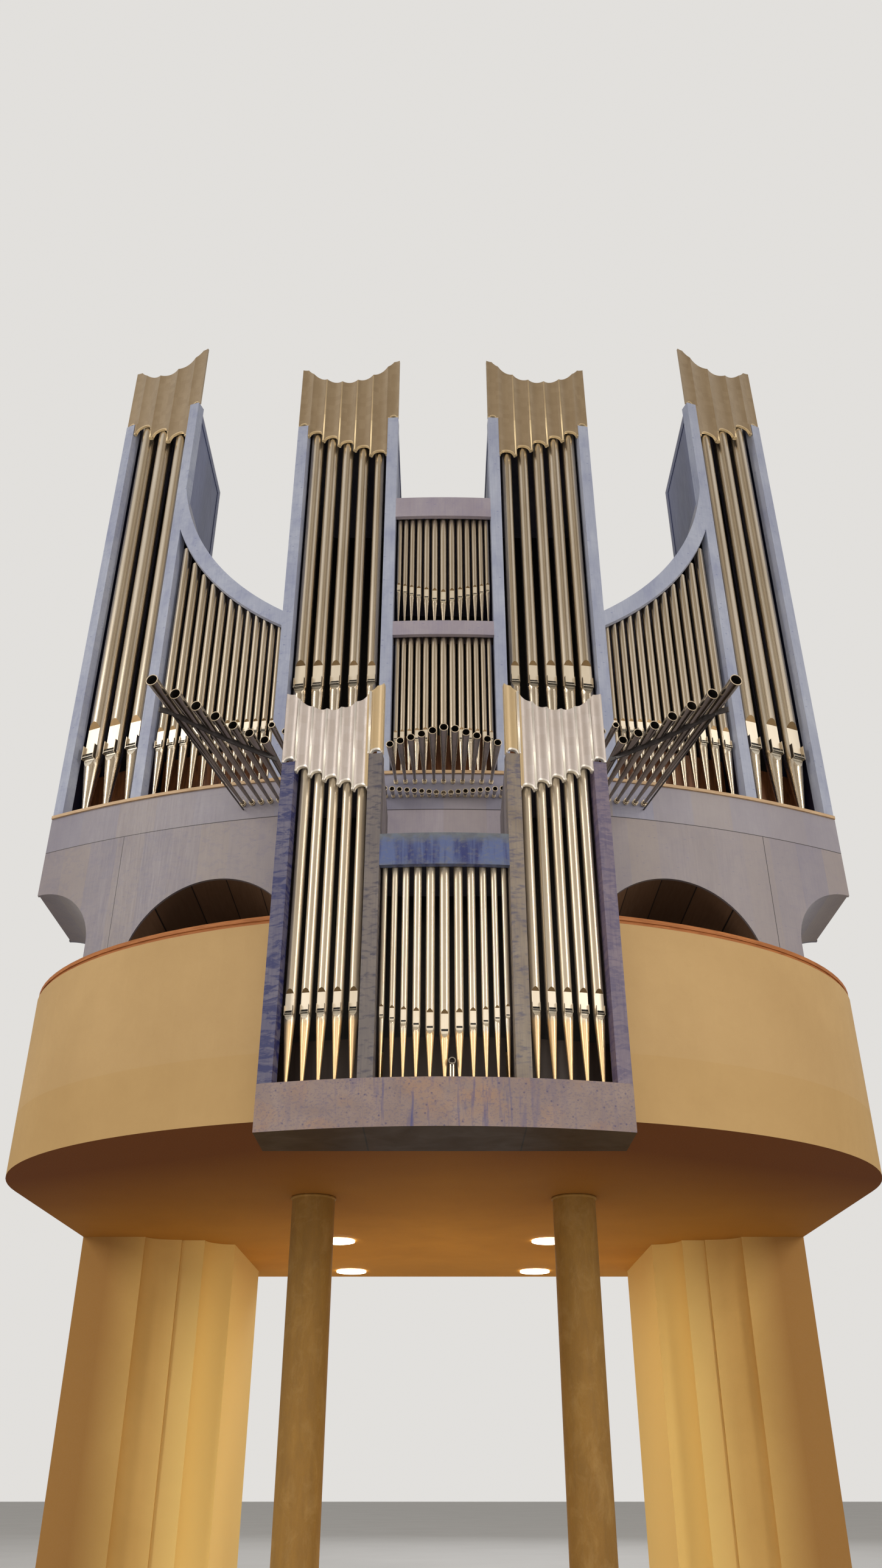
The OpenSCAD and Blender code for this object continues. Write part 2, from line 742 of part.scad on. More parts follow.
// Roof board between x0 and x1, behind the veil
module bow_roof(x0, x1, z, back = case_back_y) {
    intersection() {
        translate([0, case_centre, z]) cylinder(r = case_radius - veil_t - board_t, h = board_t, $fn = fine_fn);
        translate([x0, case_front, z - eps]) cube([x1 - x0, back - case_front, board_t + 2 * eps]);
    }
}

// Wooden chests that stand behind the front pipes
module wind_chests() {
    color("saddlebrown") {
        chest(-inner_x + chest_gap, inner_x - chest_gap);
        both() {
            chest(inner_x + chest_gap + board_t, inner_end_x - chest_gap - board_t);
            chest(inner_end_x + chest_gap, outer_x - chest_gap);
            chest(outer_x + chest_gap + board_t, tower_side_x() - chest_gap - board_t);
        }
        strip(chair_centre, chair_radius - chair_chest_setback, chair_chest_d, -chair_chest_w(),
            chair_chest_w(), chair_feet_z, chair_feet_z + chair_chest_h);
        both() strip(chair_centre, chair_radius - chair_chest_setback, chair_chest_d,
            chair_field + chair_board + chest_gap, chair_side_x() - chest_gap,
            chair_feet_z, chair_feet_z + chair_chest_h);
    }
}

function chair_chest_w() = chair_field - chest_gap;

module chest(x0, x1) {
    strip(case_centre, case_radius - chest_setback, chest_d, x0, x1, feet_z, feet_z + chest_h);
}

// Curved rails from the inner to the outer towers
module swoop_rails() {
    color("lightsteelblue") both() difference() {
        intersection() {
            swoop_band(swoop_h, inner_end_x - post_w / 2, outer_x + post_w / 2, case_front, case_back_y);
            strip(case_centre, case_radius, rail_d,
                inner_end_x - post_w / 2, outer_x + post_w / 2, feet_z, outer_top);
        }
        for (x = [inner_end_x - post_w / 2, outer_x + post_w / 2]) on_front(x)
            translate([-post_w / 2, -eps, feet_z]) cube([post_w, post_d + eps, outer_post_h]);
    }
}

module field_rail(z, h) {
    end_x = inner_x + post_w / 2;
    difference() {
        strip(case_centre, case_radius, rail_d, -end_x, end_x, feet_z + z, feet_z + z + h);
        both() on_front(inner_x + post_w / 2) translate([-post_w / 2, -post_d, feet_z])
            cube([post_w, post_d * 2, inner_post_h]);
    }
}

// Underside of the shelf that carries the upper field's pipes
function shelf_z() = feet_z + mid_rail_z + mid_rail_h - toe_t;

module middle_rail() { color("lightsteelblue") union() {
    field_rail(mid_rail_z, mid_rail_h);
    end_x = inner_x + post_w / 2;
    difference() {
        strip(case_centre, case_radius, toe_d, -end_x, end_x, shelf_z(), shelf_z() + toe_t);
        both() on_front(inner_x + post_w / 2) translate([-post_w / 2, -post_d, feet_z])
            cube([post_w, post_d * 2, inner_post_h]);
    }
} }
module upper_rail() { color("lightsteelblue") field_rail(top_rail_z, top_rail_h); }

// Speaking pipe on its foot: a sunk mouth between two flattened lips, with ears and a roller
module organ_pipe(d, foot_h, body_h, ears = true) {
    r = d / 2;
    flat_y = d * lip_share - r;
    mouth_top = foot_h + d * cut_up_share;
    lip_top = mouth_top + d * upper_lip_share;
    lip_low = foot_h - d * lower_lip_share;
    arch = d * lip_arch_share;
    low_r = r * (tip_share + (1 - tip_share) * lip_low / foot_h);
    mouth_w = 2 * sqrt(r * r - flat_y * flat_y);
    ear_t = d * ear_share;
    roller_d = d * roller_share;
    // the ears stand out past the roller
    ear_reach = ear_t + roller_d / 6;
    // how far the slopes at the lips' ends run past the metal, as a share of their length
    past = 0.1;
    difference() {
        union() {
            cylinder(d1 = d * tip_share, d2 = d, h = foot_h);
            translate([0, 0, foot_h]) cylinder(d = d, h = body_h);
        }
        rotate([90, 0, 90]) translate([0, 0, -d]) linear_extrude(2 * d) polygon([
            [-low_r - past * (low_r + flat_y), lip_low - past * arch], [flat_y, lip_low + arch],
            [flat_y, lip_top - arch], [-r - past * (r + flat_y), lip_top + past * arch],
            [-d, lip_top + past * arch], [-d, lip_low - past * arch]]);
        translate([-mouth_w / 2 + ear_t, -r, foot_h])
            cube([mouth_w - 2 * ear_t, r + flat_y + mouth_top - foot_h, mouth_top - foot_h]);
    }
    if (ears) {
        for (side = [-1, 1]) translate([(side * mouth_w - ear_t) / 2, -r - ear_reach, foot_h - arch / 2])
            cube([ear_t, r + ear_reach + flat_y + roller_d, mouth_top - foot_h + arch * 3 / 2]);
        translate([-mouth_w / 2, flat_y - roller_d, foot_h - roller_d / 2]) rotate([0, 90, 0])
            cylinder(d = roller_d, h = mouth_w, $fn = 24);
    }
}

// One pipe on the main front
module front_pipe(x, d, foot_h, top, z = feet_z, ears = true) {
    on_front(x, veil_t + pipe_gap + d / 2) translate([0, 0, z])
        organ_pipe(d, foot_h, top - z - foot_h, ears);
}

// Places and sizes of a tower's units: from its inner to its outer post
function unit_w(x0, x1, n) = (x1 - x0 - 2 * post_w) / n;
function unit_x(x0, x1, n, i) = x0 + post_w + (i + 0.5) * unit_w(x0, x1, n);
function step_down(n, i, drop) = drop * (1 - i / max(n - 1, 1));

module outer_tower_pipes() {
    w = unit_w(outer_x, case_half_w, outer_n);
    color("silver") both() for (i = [0 : outer_n - 1])
        front_pipe(unit_x(outer_x, case_half_w, outer_n, i), w * (outer_share + share_step * i),
            outer_mouth, outer_top - outer_hang - step_down(outer_n, i, outer_drop) + behind_veil);
}

module inner_tower_pipes() {
    w = unit_w(inner_x, inner_end_x, inner_n);
    color("silver") both() for (i = [0 : inner_n - 1])
        front_pipe(unit_x(inner_x, inner_end_x, inner_n, i), w * (inner_share + share_step * i),
            inner_mouth, inner_top - inner_hang - step_down(inner_n, i, inner_drop) + behind_veil);
}

// Pipes whose spacing grows outwards and whose tops follow the rail
function swoop_unit() = (outer_x - inner_end_x) / (swoop_n * (1 + swoop_grow * (swoop_n - 1) / swoop_n / 2));
function swoop_x(i) = inner_end_x + swoop_unit() * (i + swoop_grow * i * (i - 1) / swoop_n / 2);

module swoop_pipes() {
    color("silver") both() for (i = [0 : swoop_n - 1]) {
        w = swoop_x(i + 1) - swoop_x(i);
        x = swoop_x(i) + w / 2;
        d = w * swoop_share;
        front_pipe(x, d, swoop_mouth, swoop_z(x - d / 2, swoop_r + swoop_h) + swoop_h / 4);
    }
}

// A field's spacings are widest in the middle: share of pipe i of n, and sum of those before k
function swell(i, n) = 1 + field_swell * (1 - 2 * abs(2 * i / (n - 1) - 1));
function swell_sum(k, n) = k <= 0 ? 0 : swell(k - 1, n) + swell_sum(k - 1, n);
function field_w(i, n, half) = 2 * half * swell(i, n) / swell_sum(n, n);
function field_x(i, n, half) = 2 * half * (swell_sum(i, n) + swell(i, n) / 2) / swell_sum(n, n) - half;
// How far pipe i of n is from the middle, as a share
function aside(i, n) = abs(2 * i / (n - 1) - 1);

// A row of pipes over the middle field, largest in the middle
module field_pipes(z, top, mouth_mid, mouth_side) {
    half = inner_x - field_margin;
    color("silver") for (i = [0 : field_n - 1])
        front_pipe(field_x(i, field_n, half), field_w(i, field_n, half) * field_share,
            mouth_mid + (mouth_side - mouth_mid) * aside(i, field_n), top, z, ears = false);
}

module lower_field_pipes() {
    field_pipes(feet_z, shelf_z() - field_top_gap, lower_mouth, lower_mouth);
}

module upper_field_pipes() {
    z = feet_z + mid_rail_z + mid_rail_h;
    field_pipes(z, field_top - board_t - field_top_gap, upper_mouth_mid, upper_mouth_side);
}

// Silvered board over a tower: ribs between channels, an arch over each pipe, a scooped top
module veil(w_end, w_unit, n, top_h, hang, drop, scoop) {
    total = 2 * w_end + n * w_unit;
    rib_r = w_unit * veil_rib;
    plate_t = veil_t - rib_r / 2;
    // the arches stop a little short of the ribs
    arch_inset = rib_r * 1.2;
    half_w = w_unit / 2 - rib_r;
    channel_r = (half_w * half_w + veil_channel * veil_channel) / (2 * veil_channel);
    scoop_half = total / 2 - w_end * tip_width;
    scoop_r = (scoop_half * scoop_half + scoop * scoop) / (2 * scoop);
    // the units run from the inner post's to the outer post's
    lefts = concat([0], [for (i = [0 : n]) w_end + i * w_unit]);
    widths = concat([w_end], [for (i = [1 : n]) w_unit], [w_end]);
    lows = concat([0], [for (i = [0 : n - 1]) -hang - step_down(n, i, drop)], [0]);
    difference() {
        union() {
            for (i = [0 : n + 1]) translate([lefts[i], veil_t - plate_t, lows[i]])
                cube([widths[i], plate_t, top_h - lows[i]]);
            for (i = [1 : n + 1]) {
                low = i == 1 || i == n + 1 ? 0 : min(lows[i], lows[i - 1]);
                translate([lefts[i], rib_r, low]) cylinder(r = rib_r, h = top_h - low);
            }
        }
        for (i = [0 : n + 1]) {
            centre = lefts[i] + widths[i] / 2;
            translate([centre, veil_t - plate_t - channel_r + veil_channel, lows[i] - eps])
                cylinder(r = channel_r, h = top_h - lows[i] + 2 * eps);
            translate([centre, -eps, lows[i]]) rotate([-90, 0, 0])
                cylinder(r = widths[i] / 2 - arch_inset, h = veil_t + 2 * eps);
        }
        translate([total / 2, -eps, top_h - scoop + scoop_r]) rotate([-90, 0, 0])
            cylinder(r = scoop_r, h = veil_t + 2 * eps, $fn = fine_fn);
    }
}

// A veil stands flat on the chord of its tower
module tower_veil(x0, x1, n, z, top_h, hang, drop, scoop) {
    w = unit_w(x0, x1, n);
    mid = (x0 + x1) / 2;
    turn = 1 / cos(asin(mid / case_radius));
    difference() {
        on_front(mid) translate([-(x1 - x0) / 2 * turn, 0, z])
            veil(post_w * turn, w * turn, n, top_h, hang, drop, scoop);
        post(x0 + post_w / 2, z - feet_z);
        post(x1 - post_w / 2, z - feet_z);
    }
}

module outer_veils() {
    color("gainsboro") both()
        tower_veil(outer_x, case_half_w, outer_n, outer_top, outer_veil_h, outer_hang, outer_drop,
            outer_scoop);
}

module inner_veils() {
    color("gainsboro") both()
        tower_veil(inner_x, inner_end_x, inner_n, inner_top, inner_veil_h, inner_hang, inner_drop,
            inner_scoop);
}

// Horizontal reed pipe with an open bell, its socket on the plane y = 0, turned outwards
module trumpet(l, bell, splay, open = true) {
    throat = bell * throat_share;
    socket_d = bell * socket_share;
    rotate([90, 0, 0]) difference() {
        union() {
            cylinder(d = socket_d, h = socket_l, $fn = 32);
            rotate([0, splay, 0]) {
                cylinder(d1 = throat, d2 = bell, h = l, $fn = 32);
                translate([0, 0, l - bell_wall]) cylinder(d = bell + 2 * bell_wall, h = bell_wall, $fn = 32);
            }
        }
        if (open) rotate([0, splay, 0]) translate([0, 0, l / 2])
            cylinder(d1 = (throat + bell) / 2 - 2 * bell_wall, d2 = bell - 2 * bell_wall,
                h = l / 2 + eps, $fn = 32);
        translate([0, 0, -bell]) cylinder(d = 3 * bell, h = bell);
    }
}

// Each trumpet is shorter, slimmer and less splayed than the one outside it
function side_len(i) = side_l * pow(side_ratio, i);
function side_d(i) = side_bell * pow(side_bell_ratio, i);
function splay(i) = side_splay - side_closing * i;
function boot_x(i) = side_x - i * side_pitch;
// The front's own turn at x counts towards the splay
function front_turn(x) = asin(x / case_radius);

module side_row(open = true) {
    for (i = [0 : side_n - 1]) on_front(boot_x(i)) translate([0, 0, feet_z - side_z])
        trumpet(side_len(i), side_d(i), splay(i) - front_turn(boot_x(i)), open);
}

module side_trumpets() {
    color("dimgray") both() {
        side_row();
        for (i = [0 : side_upper_n - 1]) {
            x = boot_x(side_n + i - 0.5);
            on_front(x) translate([0, 0, feet_z - side_upper_z])
                trumpet(side_len(side_n + i - 1), side_upper_bell, splay(side_n) - front_turn(x));
        }
    }
}

// Order of length of trumpet i: the middle one first, then the next on either side by turns
function rank(i, mid) = i > mid ? 2 * (i - mid) - 1 : 2 * (mid - i);

module middle_trumpets() {
    mid = (mid_n - 1) / 2;
    color("dimgray") for (i = [0 : mid_n - 1]) {
        t = rank(i, mid) / (mid_n - 1);
        on_front((i - mid) * mid_pitch) translate([0, 0, feet_z - mid_z])
            trumpet(mid_l + (mid_side_l - mid_l) * t, mid_bell + (mid_side_bell - mid_bell) * t, 0);
    }
}

module small_trumpets() {
    mid = (small_n - 1) / 2;
    color("dimgray") for (i = [0 : small_n - 1])
        on_front((i - mid) * small_pitch) translate([0, 0, feet_z - small_z])
            trumpet(small_mid_l + (small_side_l - small_mid_l) * aside(i, small_n), small_bell, 0);
}

// Point on a side trumpet's axis, a share of its length out from the front
function axis_point(i, share) = [
    boot_x(i) + side_len(i) * share * sin(splay(i)),
    case_y(boot_x(i)) - side_len(i) * share * cos(splay(i))
];

// Notched bars that the side trumpets lie in, each held by two struts from the frieze
module trumpet_stays() {
    bar_t = 14;
    bar_h = 60;
    share = 0.8;
    bar_z = feet_z - side_z - bar_h - side_bell / 8;
    points = concat(
        [axis_point(0, share) + [side_bell, -side_bell / 2]],
        [for (i = [0 : side_n - 1]) axis_point(i, share)],
        [axis_point(side_n - 1, share) + [-side_bell / 2, side_bell / 2]]);
    color("black") both() difference() {
        union() {
            translate([0, 0, bar_z]) linear_extrude(bar_h) polygon(concat(
                points, [for (i = [len(points) - 1 : -1 : 0]) points[i] + [bar_t, bar_t]]));
            for (i = [0, side_n - 1]) strut(axis_point(i, share), boot_x(i), bar_z, bar_t);
        }
        side_row(open = false);
    }
}

// Level square bar from the point a back to the front at x
module strut(a, x, z, t) {
    b = [x, case_y(x)];
    v = b - a;
    difference() {
        translate([a[0], a[1], z]) rotate([0, 0, atan2(v[1], v[0])])
            translate([0, -t / 2, 0]) cube([norm(v) + t, t, t]);
        on_front(x) translate([-side_bell, 0, z - eps]) cube([side_bell * 2, side_bell, t + 2 * eps]);
    }
}

module chair_plinth() {
    color("slateblue")
        bow_board(chair_centre, chair_radius, chair_half_w, chair_low_back, chair_bottom, chair_plinth_h);
}

module chair_toe_board() {
    color("lavender") bow_board(chair_centre, chair_radius, chair_half_w, chair_low_back, chair_toe_z, toe_t);
}

// Short wind tube that opens to the front between the pipes' feet
module wind_tube() {
    flange_d = tube_d * 1.5;
    flange_t = 6;
    tube_t = 4;
    color("gray") on_chair(tube_x, tube_setback) translate([0, 0, chair_feet_z]) {
        cylinder(d = flange_d, h = flange_t, $fn = 32);
        difference() {
            union() {
                cylinder(d = tube_d, h = tube_h, $fn = 32);
                translate([0, 0, tube_h]) rotate([90, 0, 0]) cylinder(d = tube_d, h = tube_d, $fn = 32);
                translate([0, -tube_d + tube_t, tube_h]) rotate([90, 0, 0])
                    cylinder(d = tube_d + 2 * tube_t, h = tube_t, $fn = 32);
            }
            translate([0, 0, tube_h]) rotate([90, 0, 0])
                cylinder(d = tube_d - 2 * tube_t, h = tube_d + eps, $fn = 32);
        }
    }
}

module chair_post(x, w, h = chair_post_h) {
    on_chair(x) translate([-w / 2, 0, chair_feet_z]) cube([w, chair_post_d, h]);
}

function chair_outer_x() = chair_half_w - chair_post_w / 2;
function chair_inner_x() = chair_field + chair_post_w / 2;

module chair_posts() {
    color("royalblue") both() {
        chair_post(chair_outer_x(), chair_post_w);
        chair_post(chair_inner_x(), chair_post_w);
    }
}

function chair_y(x, r = chair_radius) = chair_centre - sqrt(r * r - x * x);

// Walls that run back from the posts, low ones in front of the slab and high ones on it
module chair_flank(x, post_x) {
    difference() {
        union() {
            translate([x, chair_y(x), chair_feet_z])
                cube([chair_board, chair_low_back - chair_y(x), chair_post_h]);
            translate([x, chair_low_back - eps, floor_z])
                cube([chair_board, chair_back_y - chair_low_back + eps - chair_board, chair_top - floor_z]);
        }
        on_chair(post_x) translate([-chair_post_w, -chair_post_d * 2, chair_feet_z - eps])
            cube([chair_post_w * 2, chair_post_d * 3, chair_post_h + 2 * eps]);
    }
}

function chair_side_x() = (chair_radius - chair_post_d) * chair_outer_x() / chair_radius
    + chair_post_w / 2 * cos(asin(chair_outer_x() / chair_radius)) - chair_board;

module chair_sides() {
    color("steelblue") both() {
        chair_flank(chair_side_x(), chair_outer_x());
        chair_flank(chair_field, chair_inner_x());
    }
}

module chair_back() {
    y = chair_back_y - chair_board;
    w = chair_side_x() + chair_board;
    color("slategray") union() {
        translate([-w, y, floor_z]) cube([2 * w, chair_board, chair_field_top - floor_z]);
        both() translate([chair_field, y, floor_z]) cube([w - chair_field, chair_board, chair_top - floor_z]);
    }
}

module chair_roofs() {
    w = chair_side_x() + chair_board;
    color("slategray") {
        both() chair_roof(chair_field, w, chair_top, chair_back_y);
        chair_roof(-chair_field, chair_field, chair_field_top - chair_board, chair_back_y - chair_board);
    }
}

module chair_roof(x0, x1, z, back) {
    intersection() {
        translate([0, chair_centre, z])
            cylinder(r = chair_radius - veil_t - chair_board, h = chair_board, $fn = fine_fn);
        translate([x0, front_y, z - eps]) cube([x1 - x0, back - front_y, chair_board + 2 * eps]);
    }
}

module chair_top_rail() {
    color("blue") difference() {
        strip(chair_centre, chair_radius, rail_d, -chair_inner_x(), chair_inner_x(),
            chair_feet_z + chair_rail_z, chair_field_top);
        both() on_chair(chair_inner_x()) translate([-chair_post_w / 2, -chair_post_d, chair_feet_z])
            cube([chair_post_w, chair_post_d * 2, chair_post_h]);
    }
}

function chair_unit() = (chair_tower_w - 2 * chair_post_w) / chair_tower_n;

module chair_veils() {
    mid = (chair_half_w + chair_field) / 2;
    turn = 1 / cos(asin(mid / chair_radius));
    color("gainsboro") both() difference() {
        on_chair(mid) translate([-chair_tower_w / 2 * turn, 0, chair_top])
            veil(chair_post_w * turn, chair_unit() * turn, chair_tower_n, chair_veil_h, chair_hang,
                chair_drop, chair_scoop);
        chair_post(chair_outer_x(), chair_post_w);
        chair_post(chair_inner_x(), chair_post_w);
    }
}

module chair_pipe(x, d, foot_h, top, ears = true) {
    on_chair(x, veil_t + pipe_gap + d / 2) translate([0, 0, chair_feet_z])
        organ_pipe(d, foot_h, top - chair_feet_z - foot_h, ears);
}

module chair_tower_pipes() {
    color("silver") both() for (i = [0 : chair_tower_n - 1])
        chair_pipe(chair_field + chair_post_w + (i + 0.5) * chair_unit(),
            chair_unit() * (chair_share + chair_share_step * i), chair_mouth,
            chair_top - chair_hang - step_down(chair_tower_n, i, chair_drop) + behind_veil / 2);
}

module chair_field_pipes() {
    color("silver") for (i = [0 : chair_field_n - 1]) {
        t = aside(i, chair_field_n);
        chair_pipe(field_x(i, chair_field_n, chair_field),
            field_w(i, chair_field_n, chair_field) * (chair_mid_share + (chair_side_share - chair_mid_share) * t),
            chair_mid_mouth + (chair_side_mouth - chair_mid_mouth) * t, chair_field_top - chair_board,
            ears = false);
    }
}

gallery_slab();
parapets();
handrails();
columns();
pier_left();
pier_right();
ceiling_lamps();
base_centre_bay();
arch_panel_left();
arch_panel_right();
arch_linings();
base_legs();
base_sides();
overhang_soffits();
impost_frieze();
toe_board();
chest_deck();
case_back();
case_sides();
outer_tower_posts();
inner_tower_posts();
outer_tower_flanks();
inner_tower_flanks();
case_roofs();
wind_chests();
swoop_rails();
middle_rail();
upper_rail();
outer_veils();
inner_veils();
outer_tower_pipes();
inner_tower_pipes();
swoop_pipes();
lower_field_pipes();
upper_field_pipes();
side_trumpets();
middle_trumpets();
small_trumpets();
trumpet_stays();
chair_plinth();
chair_toe_board();
wind_tube();
chair_posts();
chair_sides();
chair_back();
chair_roofs();
chair_top_rail();
chair_veils();
chair_tower_pipes();
chair_field_pipes();
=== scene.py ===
"""Looks of a pipe organ on its gallery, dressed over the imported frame. Metres, Z up, front to -Y."""
import json
import math

import bmesh
import bpy
import numpy as np
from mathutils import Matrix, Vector


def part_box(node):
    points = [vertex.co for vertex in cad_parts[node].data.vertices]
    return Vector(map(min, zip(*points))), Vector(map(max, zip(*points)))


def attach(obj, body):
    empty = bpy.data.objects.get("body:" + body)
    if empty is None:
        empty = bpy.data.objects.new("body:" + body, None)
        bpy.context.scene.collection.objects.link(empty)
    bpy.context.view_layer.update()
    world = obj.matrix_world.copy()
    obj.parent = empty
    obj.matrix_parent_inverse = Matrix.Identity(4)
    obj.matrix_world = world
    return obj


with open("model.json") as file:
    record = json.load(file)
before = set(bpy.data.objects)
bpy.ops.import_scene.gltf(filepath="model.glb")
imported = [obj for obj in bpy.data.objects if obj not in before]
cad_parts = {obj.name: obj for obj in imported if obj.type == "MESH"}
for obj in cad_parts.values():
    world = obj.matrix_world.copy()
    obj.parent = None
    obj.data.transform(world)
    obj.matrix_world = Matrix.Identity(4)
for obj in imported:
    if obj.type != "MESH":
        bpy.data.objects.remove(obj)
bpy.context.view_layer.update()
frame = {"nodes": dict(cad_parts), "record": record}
nodes = frame["nodes"]
SLOT = {row["node"]: row["material_slot"] for row in frame["record"]["subparts"]}

# Places that the frame gives
FRONT_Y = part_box("impost_frieze")[0].y
FRIEZE_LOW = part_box("impost_frieze")[0].z
CHAIR_FRONT_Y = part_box("chair_plinth")[0].y
CHAIR_FEET_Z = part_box("chair_toe_board")[1].z
REAR_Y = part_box("case_back")[1].y

# Bowed fronts of the main case and of the front case
CASE_RADIUS = 11.4
CHAIR_RADIUS = 5.68
CASE_CENTRE = FRONT_Y + CASE_RADIUS
CHAIR_CENTRE = CHAIR_FRONT_Y + CHAIR_RADIUS

# Joints drawn on the wood: their distance from the middle plane, and half their width
PANEL_JOINT = 3.88
PANEL_JOINT_HALF = 0.004
PLINTH_JOINT = 0.64
PLINTH_JOINT_HALF = 0.006
FRIEZE_JOINT_HALF = 0.005

# Where a finish changes
BETWEEN_CASES_Y = FRONT_Y - 1
STAIN_FROM, STAIN_TO = -1.3, -0.3
OUTER_POST_X = 1.0
VEIL_END_X = 0.735

# Camera of the photograph
EYE = Vector((-0.03, -14.235, 1.55))
PITCH = math.radians(30.4)
FOCAL_PX = 1936
FRAME_H = 2576
SENSOR = 36.0
CLIP_END = 300


# Node helpers
def srgb(*levels):
    """Linear colour of three levels of 0 to 255 as a screen shows them."""
    return tuple(((v / 255 + 0.055) / 1.055) ** 2.4 if v > 10 else v / 255 / 12.92 for v in levels)


def rgba(colour):
    """A colour, or a plain level as a grey, with full alpha."""
    if isinstance(colour, (int, float)):
        return (colour, colour, colour, 1)
    return (*colour, 1)


class Tree:
    """A node tree, with short calls for what the materials and the studio need."""

    def __init__(self, tree):
        self.tree = tree

    def add(self, kind, **values):
        node = self.tree.nodes.new(kind)
        for key, value in values.items():
            setattr(node, key, value)
        return node

    def link(self, out, socket):
        self.tree.links.new(out, socket)

    def fill(self, socket, value):
        """Another node's output, or a constant, into a socket."""
        if isinstance(value, bpy.types.NodeSocket):
            self.link(value, socket)
        else:
            socket.default_value = value

    def ramp(self, fac, *stops, steps=False):
        """stops are (place, colour or level)."""
        node = self.add("ShaderNodeValToRGB")
        if steps:
            node.color_ramp.interpolation = "CONSTANT"
        self.link(fac, node.inputs["Fac"])
        marks = node.color_ramp.elements
        while len(marks) < len(stops):
            marks.new(0.5)
        for mark, (place, colour) in zip(marks, stops):
            mark.position = place
            mark.color = rgba(colour)
        return node.outputs["Color"]

    def mix(self, fac, a, b):
        """From colour a to colour b as the factor goes from 0 to 1."""
        node = self.add("ShaderNodeMix", data_type="RGBA")
        for value, name in ((fac, "Factor"), (a, "A"), (b, "B")):
            socket = next(s for s in node.inputs if s.name == name and s.enabled)
            self.fill(socket, rgba(value) if isinstance(value, tuple) else value)
        return next(s for s in node.outputs if s.enabled)

    def over(self, colour, tone, level, start, full, share=1.0):
        """A tone laid over a colour: none up to the start level, its whole share from the full level on."""
        return self.mix(self.ramp(level, (start, 0.0), (full, share)), colour, tone)

    def math(self, kind, a, b=None):
        node = self.add("ShaderNodeMath", operation=kind)
        self.fill(node.inputs[0], a)
        if b is not None:
            self.fill(node.inputs[1], b)
        return node.outputs[0]

    def sum(self, a, b, share):
        """a plus a share of b."""
        node = self.add("ShaderNodeMath", operation="MULTIPLY_ADD")
        for socket, value in zip(node.inputs, (b, share, a)):
            self.fill(socket, value)
        return node.outputs[0]

    def spread(self, level, low, high, to_low=0.0, to_high=1.0):
        """A level between low and high, carried over to another range and held inside it."""
        node = self.add("ShaderNodeMapRange")
        self.link(level, node.inputs["Value"])
        limits = {"From Min": low, "From Max": high, "To Min": to_low, "To Max": to_high}
        for name, value in limits.items():
            node.inputs[name].default_value = value
        return node.outputs["Result"]

    def axis_of(self, vector, axis):
        """One axis of a vector."""
        node = self.add("ShaderNodeSeparateXYZ")
        self.link(vector, node.inputs[0])
        return node.outputs[axis]


# The materials, by name
LOOKS = {}


